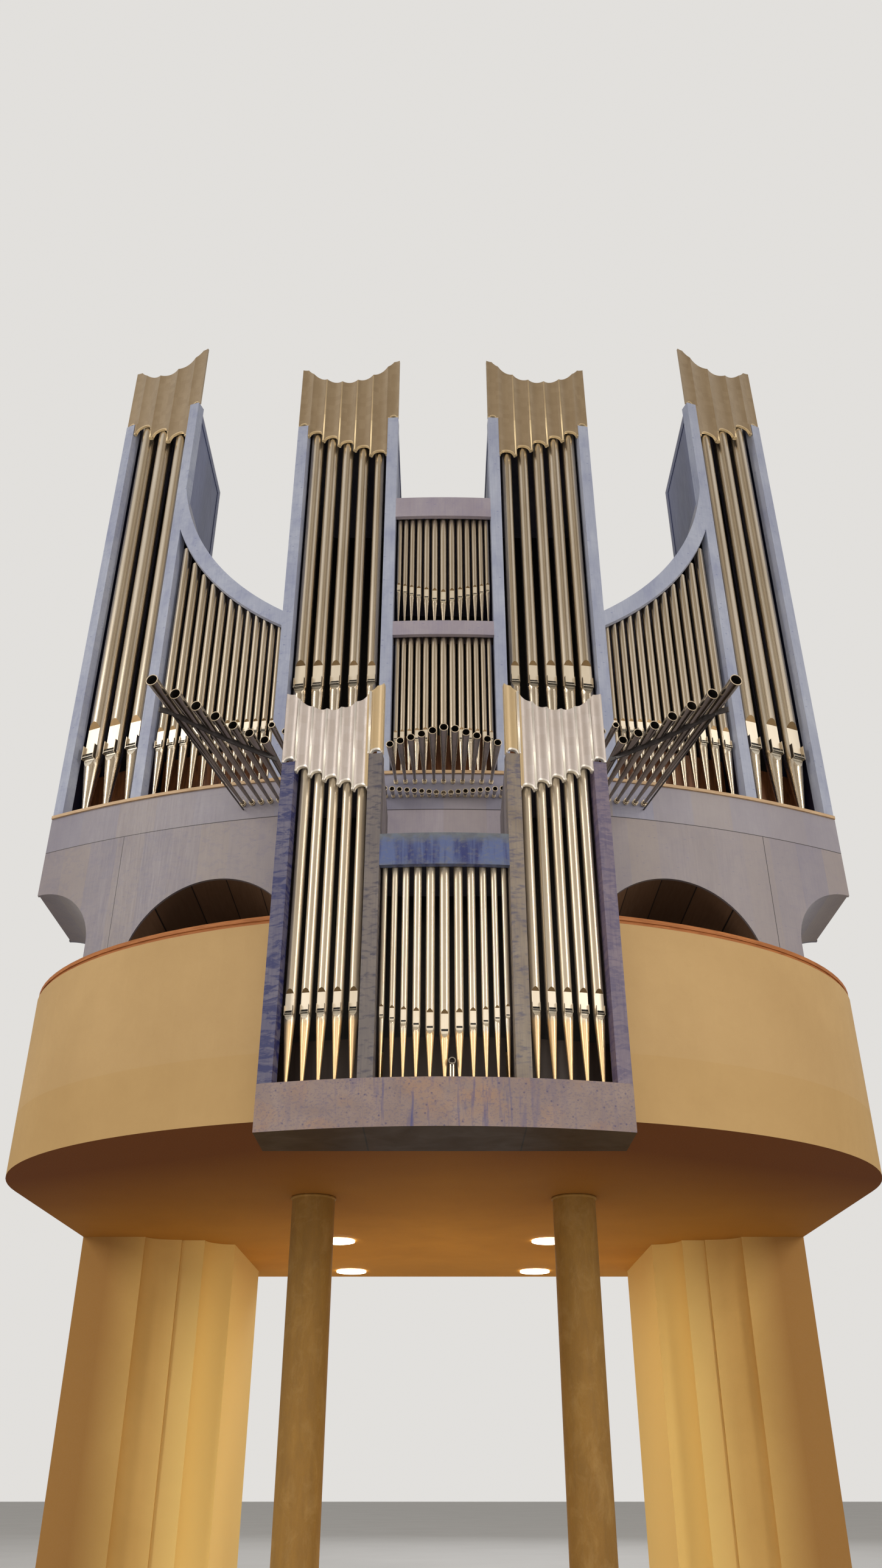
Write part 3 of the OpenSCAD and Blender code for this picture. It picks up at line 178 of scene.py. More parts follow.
class Material(Tree):
    """A material's nodes, kept in LOOKS by its name. Its coordinates are metres in the frame."""

    def __init__(self, name):
        LOOKS[name] = bpy.data.materials.new(name)
        LOOKS[name].use_nodes = True
        super().__init__(LOOKS[name].node_tree)
        self.shader = self.tree.nodes["Principled BSDF"]
        self.coords = self.add("ShaderNodeTexCoord").outputs["Object"]

    def scaled(self, scale):
        node = self.add("ShaderNodeMapping")
        self.link(self.coords, node.inputs["Vector"])
        node.inputs["Scale"].default_value = scale
        return node.outputs["Vector"]

    def noise(self, scale, detail, rough=0.55, warp=0.0):
        node = self.add("ShaderNodeTexNoise")
        self.link(self.scaled(scale), node.inputs["Vector"])
        node.inputs["Scale"].default_value = 1
        node.inputs["Detail"].default_value = detail
        node.inputs["Roughness"].default_value = rough
        node.inputs["Distortion"].default_value = warp
        return node.outputs["Fac"]

    def cells(self, scale, randomness=1.0, output="Distance"):
        node = self.add("ShaderNodeTexVoronoi")
        self.link(self.scaled(scale), node.inputs["Vector"])
        node.inputs["Scale"].default_value = 1
        node.inputs["Randomness"].default_value = randomness
        return node.outputs[output]

    def part(self, axis):
        """One axis of a place in the frame."""
        return self.axis_of(self.coords, axis)

    def from_middle(self):
        """Distance from the middle plane."""
        return self.math("ABSOLUTE", self.part("X"))

    def height(self, low, high):
        """0 at the low level and 1 at the high one."""
        return self.math("MULTIPLY", self.math("SUBTRACT", self.part("Z"), low), 1 / (high - low))

    def board(self, width):
        """A level of its own for each board of this width along X."""
        node = self.add("ShaderNodeTexWhiteNoise", noise_dimensions="1D")
        self.link(self.math("FLOOR", self.math("MULTIPLY", self.part("X"), 1 / width)), node.inputs["W"])
        return node.outputs["Value"]

    def joint(self, width, share):
        """1 on the seams between boards, a share of their width."""
        place = self.math("FRACT", self.math("MULTIPLY", self.part("X"), 1 / width))
        return self.math("LESS_THAN", place, share)

    def near(self, level, at, reach):
        """1 within reach of a level."""
        return self.math("LESS_THAN", self.math("ABSOLUTE", self.math("SUBTRACT", level, at)), reach)

    def seam_lines(self):
        """The joint under the frieze and the upright joints of the panels below it."""
        under = self.near(self.part("Z"), FRIEZE_LOW, FRIEZE_JOINT_HALF)
        upright = self.near(self.from_middle(), PANEL_JOINT, PANEL_JOINT_HALF)
        below = self.math("LESS_THAN", self.part("Z"), FRIEZE_LOW)
        return self.math("MAXIMUM", under, self.math("MULTIPLY", upright, below))

    def leftward(self, share):
        """The whole share on the left of the front case, falling to a third of it on the right."""
        return self.spread(self.part("X"), STAIN_FROM, STAIN_TO, share, share / 3)

    def facing(self, axis, below):
        """1 on faces whose normal has less than this along an axis."""
        normal = self.add("ShaderNodeNewGeometry").outputs["Normal"]
        return self.math("LESS_THAN", self.axis_of(normal, axis), below)

    def faces_down(self):
        """1 on faces that look down."""
        return self.facing("Z", -0.5)

    def bump(self, height, distance, strength):
        node = self.add("ShaderNodeBump")
        node.inputs["Distance"].default_value = distance
        node.inputs["Strength"].default_value = strength
        self.link(height, node.inputs["Height"])
        self.link(node.outputs["Normal"], self.shader.inputs["Normal"])

    def set(self, **values):
        """Values for the shader's sockets, named with _ for each space."""
        for key, value in values.items():
            self.fill(self.shader.inputs[key.replace("_", " ")], value)


# Colours with a name of their own
BEIGE_VENEER = srgb(158, 146, 138)
# Painted shade over the panels far to the left
PAINTED_LEFT_SHADE = srgb(96, 84, 88)
SEAM = srgb(52, 44, 48)
CREAM = srgb(202, 168, 116), srgb(186, 152, 102)
WALNUT = srgb(150, 94, 52), srgb(88, 52, 28)
ROOF_GREYS = srgb(136, 134, 148), srgb(110, 110, 130), srgb(84, 86, 112)
# Painted shade on the inside faces of the case's back
PAINTED_INNER_SHADE = srgb(20, 15, 13)
# Painted reflection: warm gold on the front case's pipe feet
FOOT_REFLECTION = srgb(242, 204, 146)
# Painted light on the leaves' faces that look down
WARM_UNDERSIDE_LIGHT = srgb(236, 214, 170)
WHITE_UNDERSIDE_LIGHT = srgb(246, 240, 226)


# Materials
def stained_wood(name, pale, deep, fleck, ticks, blotch=0.0, boards=0.0, seams_and_shade=False, inner=None):
    """Figured veneer under a thin stain: clouds, upright grain, short cross ticks and blotches.

    ticks and blotch are shares of the fleck colour and boards the width of a board along X. The seam flag
    draws the joints and painted shade over the far left; the inner colour is painted shade on faces that look
    to the front.
    """
    t = Material(name)
    clouds = t.noise((1.4, 1.4, 0.8), 5, 0.62, 0.5)
    grain = t.noise((60, 60, 2.6), 4, 0.6)
    wash = t.noise((4, 4, 2.2), 4, 0.6, 0.3)
    ripple = t.noise((3, 3, 30), 3, 0.6, 0.6)
    spots = t.noise((9, 9, 15), 5, 0.65, 0.6)
    tick = t.cells((7, 7, 16))
    colour = t.over(pale, deep, clouds, 0.32, 0.68)
    colour = t.over(colour, fleck, wash, 0.5, 0.75, 0.35)
    colour = t.over(colour, deep, ripple, 0.5, 0.8, 0.35)
    colour = t.over(colour, fleck, grain, 0.45, 0.8, 0.25)
    if boards:
        colour = t.over(colour, BEIGE_VENEER, t.board(boards), 0.0, 1.0, 0.7)
    if blotch:
        patches = t.ramp(spots, (0.5, 0.0), (0.6, 1.0))
        colour = t.mix(t.math("MULTIPLY", patches, t.leftward(blotch)), colour, fleck)
    colour = t.mix(t.ramp(tick, (0.0, ticks), (0.07, ticks), (0.14, 0.0)), colour, fleck)
    if seams_and_shade:
        # Painted shade: the panels darken towards the far left.
        left_shade = t.ramp(t.sum(0.5, t.part("X"), 0.1), (0.02, 0.3), (0.25, 0.0))
        colour = t.mix(left_shade, colour, PAINTED_LEFT_SHADE)
        colour = t.mix(t.seam_lines(), colour, SEAM)
    if inner:
        # Painted shade: near-black on faces that look to the front, inside the case.
        colour = t.mix(t.facing("Y", -0.5), colour, inner)
    t.set(Base_Color=colour, Roughness=t.ramp(grain, (0.2, 0.4), (0.8, 0.6)))
    t.bump(t.sum(grain, clouds, 0.4), 0.001, 0.4)


def front_post_wood(name):
    """The front case's posts: blue ripples on the left one, dashes on the inner two, purple on the right."""
    t = Material(name)
    place = t.sum(0.5, t.part("X"), 0.25)
    # The four posts from left to right, on a scale of four metres
    stops = 0.0, 0.25, 0.5, 0.75
    shades = [[srgb(100, 96, 114), srgb(122, 113, 108), srgb(146, 134, 120), srgb(120, 106, 118)],
              [srgb(76, 74, 102), srgb(102, 96, 96), srgb(122, 110, 98), srgb(98, 86, 106)],
              [srgb(28, 34, 88), srgb(46, 48, 72), srgb(60, 64, 98), srgb(58, 52, 94)]]
    pale, deep, stain = (t.ramp(place, *zip(stops, row), steps=True) for row in shades)
    clouds = t.noise((3, 3, 2), 5, 0.62, 0.5)
    grain = t.noise((60, 60, 2.6), 4, 0.6)
    ripple = t.ramp(t.noise((6, 6, 19), 4, 0.65, 0.8), (0.45, 0.0), (0.58, 1.0))
    dashes = t.ramp(t.noise((10, 10, 30), 3, 0.55, 0.4), (0.5, 0.0), (0.68, 0.9))
    outer = t.math("GREATER_THAN", t.from_middle(), OUTER_POST_X)
    share = t.ramp(place, *zip(stops, (0.95, 0.8, 0.65, 0.55)), steps=True)
    colour = t.over(pale, deep, clouds, 0.32, 0.68)
    colour = t.mix(t.math("MULTIPLY", share, t.mix(outer, dashes, ripple)), colour, stain)
    colour = t.over(colour, stain, grain, 0.45, 0.8, 0.3)
    t.set(Base_Color=colour, Roughness=t.ramp(grain, (0.2, 0.4), (0.8, 0.6)))
    t.bump(t.sum(grain, clouds, 0.4), 0.001, 0.4)


def blue_rail_wood(name):
    """The front case's top rail: a deep blue wash, grey-green along its upper edge."""
    t = Material(name)
    low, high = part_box("chair_top_rail")
    level = t.height(low.z, high.z)
    clouds = t.noise((5, 5, 6), 5, 0.65, 0.6)
    runs = t.noise((13, 13, 1.2), 3, 0.6, 0.3)
    dust = t.noise((18, 18, 30), 4, 0.7)
    specks = t.cells((22, 22, 22))
    ragged = t.sum(t.sum(-0.5, clouds, 1.0), runs, 0.5)
    band = t.math("MULTIPLY", t.sum(level, ragged, 0.7), 0.7)
    band = t.ramp(band, (0.05, 0.6), (0.3, 1.0), (0.6, 0.9), (0.78, 0.05))
    blue = t.over(srgb(84, 98, 142), srgb(40, 48, 104), runs, 0.42, 0.6)
    green = t.over(srgb(108, 116, 120), srgb(92, 96, 104), clouds, 0.4, 0.6)
    colour = t.mix(band, green, blue)
    colour = t.over(colour, srgb(112, 112, 112), dust, 0.5, 0.7, 0.6)
    colour = t.mix(t.ramp(specks, (0.0, 0.5), (0.12, 0.0)), colour, srgb(34, 40, 72))
    t.set(Base_Color=colour, Roughness=t.ramp(clouds, (0.2, 0.4), (0.8, 0.6)))
    t.bump(t.sum(runs, clouds, 0.4), 0.001, 0.4)


def plinth_wood(name):
    """Warm grey burr: orange clouds, blue runs in the middle and small dark eyes, with painted shade below.
    """
    t = Material(name)
    clouds = t.noise((2, 2, 2), 5, 0.65, 0.6)
    warm = t.noise((3.1, 3.1, 4), 5, 0.6, 0.4)
    runs = t.noise((15, 15, 1.3), 3, 0.6, 0.3)
    eyes = t.cells((15, 15, 17))
    dust = t.noise((40, 40, 60), 3, 0.7)
    middle = t.ramp(t.from_middle(), (0.3, 1.0), (0.9, 0.15))
    blue = t.math("MULTIPLY", middle, t.ramp(runs, (0.5, 0.0), (0.62, 0.8)))
    colour = t.over(srgb(156, 139, 132), srgb(134, 118, 115), clouds, 0.3, 0.7)
    colour = t.over(colour, srgb(168, 134, 108), warm, 0.5, 0.75, 0.6)
    colour = t.mix(blue, colour, srgb(74, 80, 130))
    colour = t.over(colour, srgb(104, 98, 122), dust, 0.5, 0.68, 0.6)
    colour = t.mix(t.ramp(eyes, (0.0, 0.7), (0.08, 0.6), (0.17, 0.0)), colour, srgb(74, 72, 110))
    # Painted shade: faces that look down turn dark brown.
    colour = t.mix(t.faces_down(), colour, srgb(52, 34, 18))
    joint = t.near(t.from_middle(), PLINTH_JOINT, PLINTH_JOINT_HALF)
    colour = t.mix(t.math("MULTIPLY", joint, t.faces_down()), colour, srgb(16, 10, 8))
    t.set(Base_Color=colour, Specular_IOR_Level=0.1, Roughness=t.ramp(warm, (0.2, 0.42), (0.8, 0.6)))
    t.bump(t.sum(dust, clouds, 0.4), 0.001, 0.4)


def plain_wood(name, pale, deep, rough=0.5, scale=(4, 4, 60), shade_before_case=None):
    """Grained wood, with a darker colour of painted shade for what lies before the main case, where one is
    given.
    """
    t = Material(name)
    grain = t.noise(scale, 5, 0.6, 0.8)
    rings = t.noise(tuple(v / 4 for v in scale), 4, 0.5, 0.5)
    colour = t.over(pale, deep, grain, 0.35, 0.7)
    colour = t.over(colour, deep, rings, 0.45, 0.8, 0.4)
    if shade_before_case:
        # Painted shade on what lies before the main case, inside the front case.
        colour = t.mix(t.math("LESS_THAN", t.part("Y"), BETWEEN_CASES_Y), colour, shade_before_case)
    t.set(Base_Color=colour, Roughness=t.ramp(grain, (0.2, rough - 0.1), (0.8, rough + 0.12)))
    t.bump(grain, 0.001, 0.5)


def plank_wood(name, pale, deep, seam, width):
    """Boards with dark seams, side by side along X."""
    t = Material(name)
    grain = t.noise((40, 3, 40), 4, 0.6)
    colour = t.over(pale, deep, t.board(width), 0.0, 1.0)
    colour = t.over(colour, deep, grain, 0.4, 0.8, 0.5)
    colour = t.mix(t.joint(width, 0.03), colour, seam)
    t.set(Base_Color=colour, Roughness=t.ramp(grain, (0.2, 0.45), (0.8, 0.65)))
    t.bump(grain, 0.001, 0.5)


def plaster(name, pale, deep, rough=0.8, under=None, painted_light_aside=None, streaks=0.0):
    """Trowelled plaster or cast concrete: soft clouds, pores and a faint trowel relief.

    under is two colours of painted shade on the underside, darkest at the front and paler with painted lamp
    light at the rear, the two after it are painted lamp light near the middle and painted shade far from it,
    and streaks the share of brown runs.
    """
    t = Material(name)
    clouds = t.noise((0.5, 0.5, 0.4), 6, 0.6, 0.3)
    trowel = t.noise((3.5, 3.5, 5), 5, 0.6)
    pores = t.noise((60, 60, 60), 3, 0.7)
    colour = t.over(pale, deep, clouds, 0.3, 0.72)
    colour = t.over(colour, deep, trowel, 0.5, 0.85, 0.35)
    if streaks:
        runs = t.noise((12, 12, 2.2), 5, 0.7, 0.4)
        stains = t.noise((5, 5, 3), 5, 0.7, 0.5)
        colour = t.over(colour, srgb(112, 84, 40), runs, 0.4, 0.75, streaks)
        colour = t.over(colour, srgb(196, 158, 94), stains, 0.5, 0.75, streaks)
    if painted_light_aside:
        # Painted lamp light on the faces near the middle, painted shade far from it.
        near, far = painted_light_aside
        span = t.math("MULTIPLY", t.from_middle(), 0.2)
        colour = t.mix(t.ramp(span, (0.6, 0.9), (0.7, 0.0)), colour, near)
        colour = t.over(colour, far, span, 0.74, 0.84, 0.9)
    if under:
        # Painted shade on the underside, darkest at the front, with painted lamp light towards the rear.
        front, rear = under
        rearward = t.sum(t.sum(0.5, t.part("Y"), 0.1), t.from_middle(), -0.05)
        below = t.over(front, rear, rearward, 0.1, 0.7)
        below = t.over(below, front, clouds, 0.3, 0.7, 0.25)
        colour = t.mix(t.faces_down(), colour, below)
        t.set(Specular_IOR_Level=0.15)
    t.set(Base_Color=colour, Roughness=t.ramp(pores, (0.3, rough - 0.08), (0.7, rough + 0.1)))
    t.bump(t.sum(trowel, pores, 0.25), 0.003, 0.4)


def pipe_metal(name, tint, shade, rough, metallic=1.0, foot_reflection=None):
    """Planed tin alloy: fine upright planing marks, a soft wave along the sheet, faint tarnish.

    The last argument is a painted warm reflection on the feet: its colour and the two levels between which it
    lies.
    """
    t = Material(name)
    streaks = t.noise((140, 140, 0.7), 3, 0.6)
    waves = t.noise((5, 5, 0.5), 2, 0.4)
    tarnish = t.noise((2.2, 2.2, 0.5), 5, 0.65)
    colour = t.over(tint, shade, tarnish, 0.35, 0.75)
    colour = t.over(colour, shade, streaks, 0.4, 0.8, 0.2)
    if foot_reflection:
        # Painted reflection: a warm gold tint on the feet.
        reflected_gold, low, high = foot_reflection
        colour = t.mix(t.ramp(t.height(low, high), (0.0, 0.9), (0.9, 0.7), (1.0, 0.0)), colour, reflected_gold)
    t.set(Base_Color=colour, Metallic=metallic, Coat_Weight=0.15, Coat_Roughness=0.22,
          Roughness=t.ramp(streaks, (0.2, rough - 0.05), (0.8, rough + 0.1)))
    t.bump(t.sum(waves, streaks, 0.02), 0.001, 0.12)


def leaf(name, tint, shade, underside_light, metallic=0.35, tips=None):
    """Square leaves laid over wood: faint patches with creases, rubbed in places.

    The fourth argument is painted light on faces that look down, and tips the colour of the veils' ends next
    to the middle.
    """
    t = Material(name)
    patch = t.add("ShaderNodeSeparateColor")
    t.link(t.cells((11, 11, 11), 0.12, "Color"), patch.inputs["Color"])
    creases = t.noise((34, 34, 70), 4, 0.7, 1.0)
    rubbed = t.noise((3, 3, 1.2), 5, 0.7, 0.5)
    colour = t.over(tint, shade, patch.outputs["Red"], 0.0, 1.0, 0.35)
    colour = t.over(colour, shade, rubbed, 0.5, 0.8, 0.5)
    if tips:
        colour = t.mix(t.math("LESS_THAN", t.from_middle(), VEIL_END_X), colour, tips)
    colour = t.over(colour, shade, creases, 0.58, 0.75, 0.4)
    # Painted light: faces that look down turn paler.
    colour = t.mix(t.facing("Z", -0.15), colour, underside_light)
    t.set(Base_Color=colour, Metallic=metallic, Roughness=t.ramp(creases, (0.3, 0.34), (0.75, 0.5)))
    t.bump(creases, 0.0012, 0.5)


def plain_coat_and_shade(name, colour, rough):
    """Dull paint, a little paler where it is worn; also the flat colour of painted shade."""
    t = Material(name)
    wear = t.noise((20, 20, 20), 4, 0.6)
    worn = tuple(min(1.0, c * 1.35 + 0.02) for c in colour)
    t.set(Base_Color=t.over(colour, worn, wear, 0.4, 0.8),
          Roughness=t.ramp(wear, (0.2, rough - 0.08), (0.8, rough + 0.1)))
    t.bump(wear, 0.0006, 0.4)


def lamp_glow(name):
    """Warm white glass with the light on."""
    t = Material(name)
    mottle = t.noise((40, 40, 40), 2, 0.5)
    t.set(Base_Color=t.ramp(mottle, (0.3, (1.0, 0.93, 0.78)), (0.8, (0.95, 0.86, 0.7))), Roughness=0.4)
    t.set(Emission_Color=(1.0, 0.86, 0.62, 1), Emission_Strength=6.0)


# The front case's pipes: the height of their feet, and their two tones, roughness and metallic share
TOWER_FOOT = 0.56
FIELD_FOOT = 0.42
CHAIR_METAL = srgb(212, 200, 180), srgb(190, 174, 150), 0.32, 0.72


def make_materials():
    """Every finish, in the colours of the photograph."""
    plaster("plaster", *CREAM)
    # Painted lamp light and shade on the piers' faces
    plaster("pier_plaster", srgb(228, 188, 112), srgb(206, 166, 94),
            painted_light_aside=(srgb(250, 216, 132), srgb(164, 118, 58)))
    # Painted shade and lamp light on the slab's underside
    plaster("slab_plaster", *CREAM, under=(srgb(110, 62, 24), srgb(216, 156, 66)))
    plaster("concrete", srgb(168, 126, 54), srgb(146, 106, 42), 0.7, streaks=0.4)
    plain_wood("rail_wood", srgb(186, 116, 56), srgb(146, 84, 36), 0.7)
    lamp_glow("lamp_glass")
    plain_wood("pale_wood", srgb(206, 176, 138), srgb(176, 142, 104))
    plain_wood("brown_wood", *WALNUT, 0.5, (26, 26, 3))
    # Painted shade on the wind chests that lie before the main case
    plain_wood("chest_wood", *WALNUT, 0.5, (26, 26, 3), srgb(44, 28, 18))
    plank_wood("vault_wood", srgb(150, 114, 86), srgb(108, 82, 62), srgb(20, 14, 11), 0.42)
    pipe_metal("pipe_metal", srgb(210, 198, 180), srgb(188, 174, 152), 0.26)
    # Painted reflection: gold on the front case's pipe feet
    pipe_metal("chair_tower_metal", *CHAIR_METAL, foot_reflection=(FOOT_REFLECTION, CHAIR_FEET_Z, CHAIR_FEET_Z + TOWER_FOOT))
    pipe_metal("chair_field_metal", *CHAIR_METAL, foot_reflection=(FOOT_REFLECTION, CHAIR_FEET_Z, CHAIR_FEET_Z + FIELD_FOOT))
    # Painted highlight on the pipes' lips and painted shade on the arches above them
    pipe_metal("lip_highlight_metal", srgb(248, 238, 220), srgb(230, 216, 192), 0.42, 0.78)
    pipe_metal("lower_lip_highlight_metal", srgb(236, 228, 212), srgb(216, 204, 182), 0.34)
    pipe_metal("arch_shade_metal", srgb(120, 98, 68), srgb(96, 76, 50), 0.35)
    pipe_metal("reed_metal", srgb(178, 170, 160), srgb(134, 126, 118), 0.14, 0.95)
    pipe_metal("rim_metal", srgb(228, 212, 186), srgb(200, 182, 154), 0.35, 0.7)
    # Painted highlight on the veils' ribs and lower edges
    leaf("rib_highlight_leaf", srgb(220, 196, 156), srgb(196, 170, 128), WARM_UNDERSIDE_LIGHT, 0.5)
    leaf("rib_highlight_white", srgb(236, 230, 222), srgb(214, 204, 192), WHITE_UNDERSIDE_LIGHT, 0.5)
    # Painted shade beside the veils' ribs
    plain_coat_and_shade("crease_shade", srgb(88, 72, 52), 0.7)
    plain_coat_and_shade("roller_dark", srgb(13, 10, 9), 0.75)
    # Painted shade inside the pipes
    plain_coat_and_shade("pipe_inner_shade", srgb(14, 11, 9), 0.8)
    plain_coat_and_shade("dark_steel", srgb(58, 54, 54), 0.4)
    leaf("silver_leaf", srgb(160, 140, 112), srgb(134, 113, 84), WARM_UNDERSIDE_LIGHT)
    leaf("white_leaf", srgb(200, 190, 184), srgb(176, 162, 150), WHITE_UNDERSIDE_LIGHT, 0.25, srgb(196, 172, 132))
    stained_wood("panel_wood", srgb(150, 143, 150), srgb(131, 126, 138), srgb(112, 110, 138),
                 0.35, 0.2, 0.36, True)
    # Painted light: paler than the panel wood, lifting the shaded middle bay
    stained_wood("bay_lit_wood", srgb(178, 170, 178), srgb(158, 150, 162), srgb(126, 122, 150),
                 0.2, 0.1, 0.5, True)
    stained_wood("frieze_wood", srgb(152, 151, 166), srgb(132, 131, 151), srgb(120, 118, 146),
                 0.2, 0.1, 0.5, True)
    stained_wood("post_wood", srgb(174, 180, 196), srgb(150, 156, 178), srgb(102, 110, 154), 0.6, 0.15)
    stained_wood("cross_wood", srgb(164, 156, 164), srgb(146, 137, 148), srgb(116, 112, 146), 0.5, 0.15)
    stained_wood("flank_wood", srgb(80, 88, 126), srgb(62, 70, 108), srgb(40, 46, 84), 0.4)
    front_post_wood("deep_blue_wood")
    stained_wood("ticked_wood", srgb(150, 140, 136), srgb(124, 116, 120), srgb(66, 66, 96), 0.9, 0.4)
    blue_rail_wood("blue_rail_wood")
    stained_wood("roof_wood", *ROOF_GREYS, 0.3)
    # Painted shade on the inside of the case's back
    stained_wood("back_wood", *ROOF_GREYS, 0.3, inner=PAINTED_INNER_SHADE)
    plinth_wood("plinth_wood")


# Nodes whose finish differs from the plain one of their slot
FINISH = {
    "pier_left": "pier_plaster", "pier_right": "pier_plaster", "gallery_slab": "slab_plaster",
    "chair_tower_pipes": "chair_tower_metal", "chair_field_pipes": "chair_field_metal",
    "wind_chests": "chest_wood", "arch_linings": "vault_wood", "chair_veils": "white_leaf",
    "impost_frieze": "frieze_wood", "arch_panel_left": "panel_wood", "arch_panel_right": "panel_wood",
    "base_centre_bay": "bay_lit_wood", "base_legs": "panel_wood", "base_sides": "panel_wood",
    "overhang_soffits": "panel_wood", "outer_tower_posts": "post_wood", "inner_tower_posts": "post_wood",
    "swoop_rails": "post_wood", "middle_rail": "cross_wood", "upper_rail": "cross_wood",
    "case_sides": "flank_wood", "outer_tower_flanks": "flank_wood", "inner_tower_flanks": "flank_wood",
    "chair_sides": "ticked_wood", "chair_top_rail": "blue_rail_wood", "case_back": "back_wood",
    "case_roofs": "roof_wood", "chair_back": "back_wood", "chair_roofs": "roof_wood",
}


def dress_nodes():
    """Each node in the finish of its place, or else in the plain one of its slot."""
    for name, obj in nodes.items():
        obj.data.materials.clear()
        obj.data.materials.append(LOOKS[FINISH.get(name, SLOT[name])])
        for face in obj.data.polygons:
            face.use_smooth = True


# Shapes read from the nodes, with the precision of their meshes
WELD_DIGITS = 5
WELD_DISTANCE = 1e-5
TOP_DEPTH = 1e-4
BELL_DEPTH = 0.003
NO_AREA = 1e-12


def solids(name):
    """The separate solids of a node, each as the node's corners and its own faces' corner numbers."""
    mesh = nodes[name].data
    corners = np.array([v.co for v in mesh.vertices])
    _, weld = np.unique(np.round(corners, WELD_DIGITS), axis=0, return_inverse=True)
    weld = weld.ravel()
    group = list(range(weld.max() + 1))

    def root(k):
        while group[k] != k:
            group[k] = group[group[k]]
            k = group[k]
        return k

    faces = [tuple(face.vertices) for face in mesh.polygons]
    for face in faces:
        first = root(weld[face[0]])
        for corner in face[1:]:
            group[root(weld[corner])] = first
    parts = {}
    for face in faces:
        parts.setdefault(root(weld[face[0]]), []).append(face)
    return [(corners, part) for part in parts.values()]


def own_corners(corners, faces):
    """The corners that these faces use."""
    return corners[sorted({c for face in faces for c in face})]


def face_cross(corners, face):
    """A vector along a face's outward normal, longer for a larger face."""
    a, b, c = corners[list(face[:3])]
    return np.cross(b - a, c - a)


def face_normal(corners, face):
    """A face's outward normal, or None where its corners span no area."""
    out = face_cross(corners, face)
    size = np.linalg.norm(out)
    return None if size < NO_AREA else out / size


# Mouths of the pipes, in shares of a pipe's diameter
LIP_DEPTH = 0.15
CUT_UP = 0.22
ROLLER = 0.12
# The body's wall, in shares of its radius from the axis, and how far behind the axis it is looked for
WALL_FROM, WALL_TO = 0.995, 1.003
BEHIND = -0.2


class Pipe:
    """A speaking pipe's axis, radius, turn, levels and flat lips, measured on its solid."""

    def __init__(self, corners, faces, centre_y):
        self.corners, self.faces = corners, faces
        own = own_corners(corners, faces)
        self.top = own[:, 2].max()
        ring = own[own[:, 2] > self.top - TOP_DEPTH]
        self.x, self.y = (ring[:, :2].min(axis=0) + ring[:, :2].max(axis=0)) / 2
        self.r = np.hypot(ring[:, 0] - self.x, ring[:, 1] - self.y).max()
        self.d = 2 * self.r
        self.flat = self.r - LIP_DEPTH * self.d
        self.half = math.sqrt(self.r ** 2 - self.flat ** 2)
        turn = math.atan2(self.x, centre_y - self.y)
        self.side = np.array([math.cos(turn), math.sin(turn), 0.0])
        self.front = np.array([math.sin(turn), -math.cos(turn), 0.0])
        # The body's wall ends level with the mouth, where the foot begins
        from_axis = own - [self.x, self.y, 0]
        reach = from_axis @ self.front
        away = np.hypot(from_axis[:, 0], from_axis[:, 1])
        wall = (away > WALL_FROM * self.r) & (away < WALL_TO * self.r) & (reach < BEHIND * self.r)
        self.mouth = own[wall][:, 2].min()

    def place(self, side, front, z):
        """The point at this level, so far to the side and the front of the axis."""
        return Vector((self.x, self.y, z)) + Vector(self.side) * side + Vector(self.front) * front


PIPE_NODES = {"outer_tower_pipes": CASE_CENTRE, "inner_tower_pipes": CASE_CENTRE, "swoop_pipes": CASE_CENTRE,
              "lower_field_pipes": CASE_CENTRE, "upper_field_pipes": CASE_CENTRE,
              "chair_tower_pipes": CHAIR_CENTRE, "chair_field_pipes": CHAIR_CENTRE}
PIPES = {name: [Pipe(corners, faces, centre) for corners, faces in solids(name)]
         for name, centre in PIPE_NODES.items()}


# Pieces and the forms that they are made of
def new_piece(name, mesh, material, smooth=False):
    """A piece of its own on the one body."""
    out = bpy.data.meshes.new(name)
    mesh.to_mesh(out)
    mesh.free()
    for face in out.polygons:
        face.use_smooth = smooth
    out.materials.append(LOOKS[material])
    piece = bpy.data.objects.new(name, out)
    bpy.context.scene.collection.objects.link(piece)
    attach(piece, "root")


def box_into(mesh, corner, a, b, c):
    """A box from a corner along three edges."""
    verts = [mesh.verts.new(corner + a * i + b * j + c * k) for i in (0, 1) for j in (0, 1) for k in (0, 1)]
    for quad in ((0, 1, 3, 2), (4, 6, 7, 5), (0, 4, 5, 1), (2, 3, 7, 6), (0, 2, 6, 4), (1, 5, 7, 3)):
        mesh.faces.new([verts[q] for q in quad])


def skin(mesh, ring, after):
    """Quads from one ring of corners to the next."""
    for i in range(len(ring)):
        k = (i + 1) % len(ring)
        mesh.faces.new((ring[i], ring[k], after[k], after[i]))


def turns(count):
    """Angles of a whole turn in equal steps."""
    return [math.tau * i / count for i in range(count)]


def spokes(axis, count):
    """Unit vectors square to an axis, all the way round."""
    u = axis.orthogonal().normalized()
    v = axis.cross(u)
    return [u * math.cos(a) + v * math.sin(a) for a in turns(count)]


def level_ring(mesh, x, y, z, radius, sides):
    """Corners of a level circle."""
    return [mesh.verts.new((x + radius * math.cos(a), y + radius * math.sin(a), z)) for a in turns(sides)]


def turned_ring(mesh, centre, axis, radius, half, sides=28, rounds=8):
    """A ring of round section about an axis."""
    loops = []
    for out in spokes(axis, sides):
        loops.append([mesh.verts.new(centre + out * (radius + half * math.cos(a)) + axis * half * math.sin(a))
                      for a in turns(rounds)])
    for loop, after in zip(loops, loops[1:] + loops[:1]):
        for i in range(rounds):
            k = (i + 1) % rounds
            mesh.faces.new((loop[i], after[i], after[k], loop[k]))


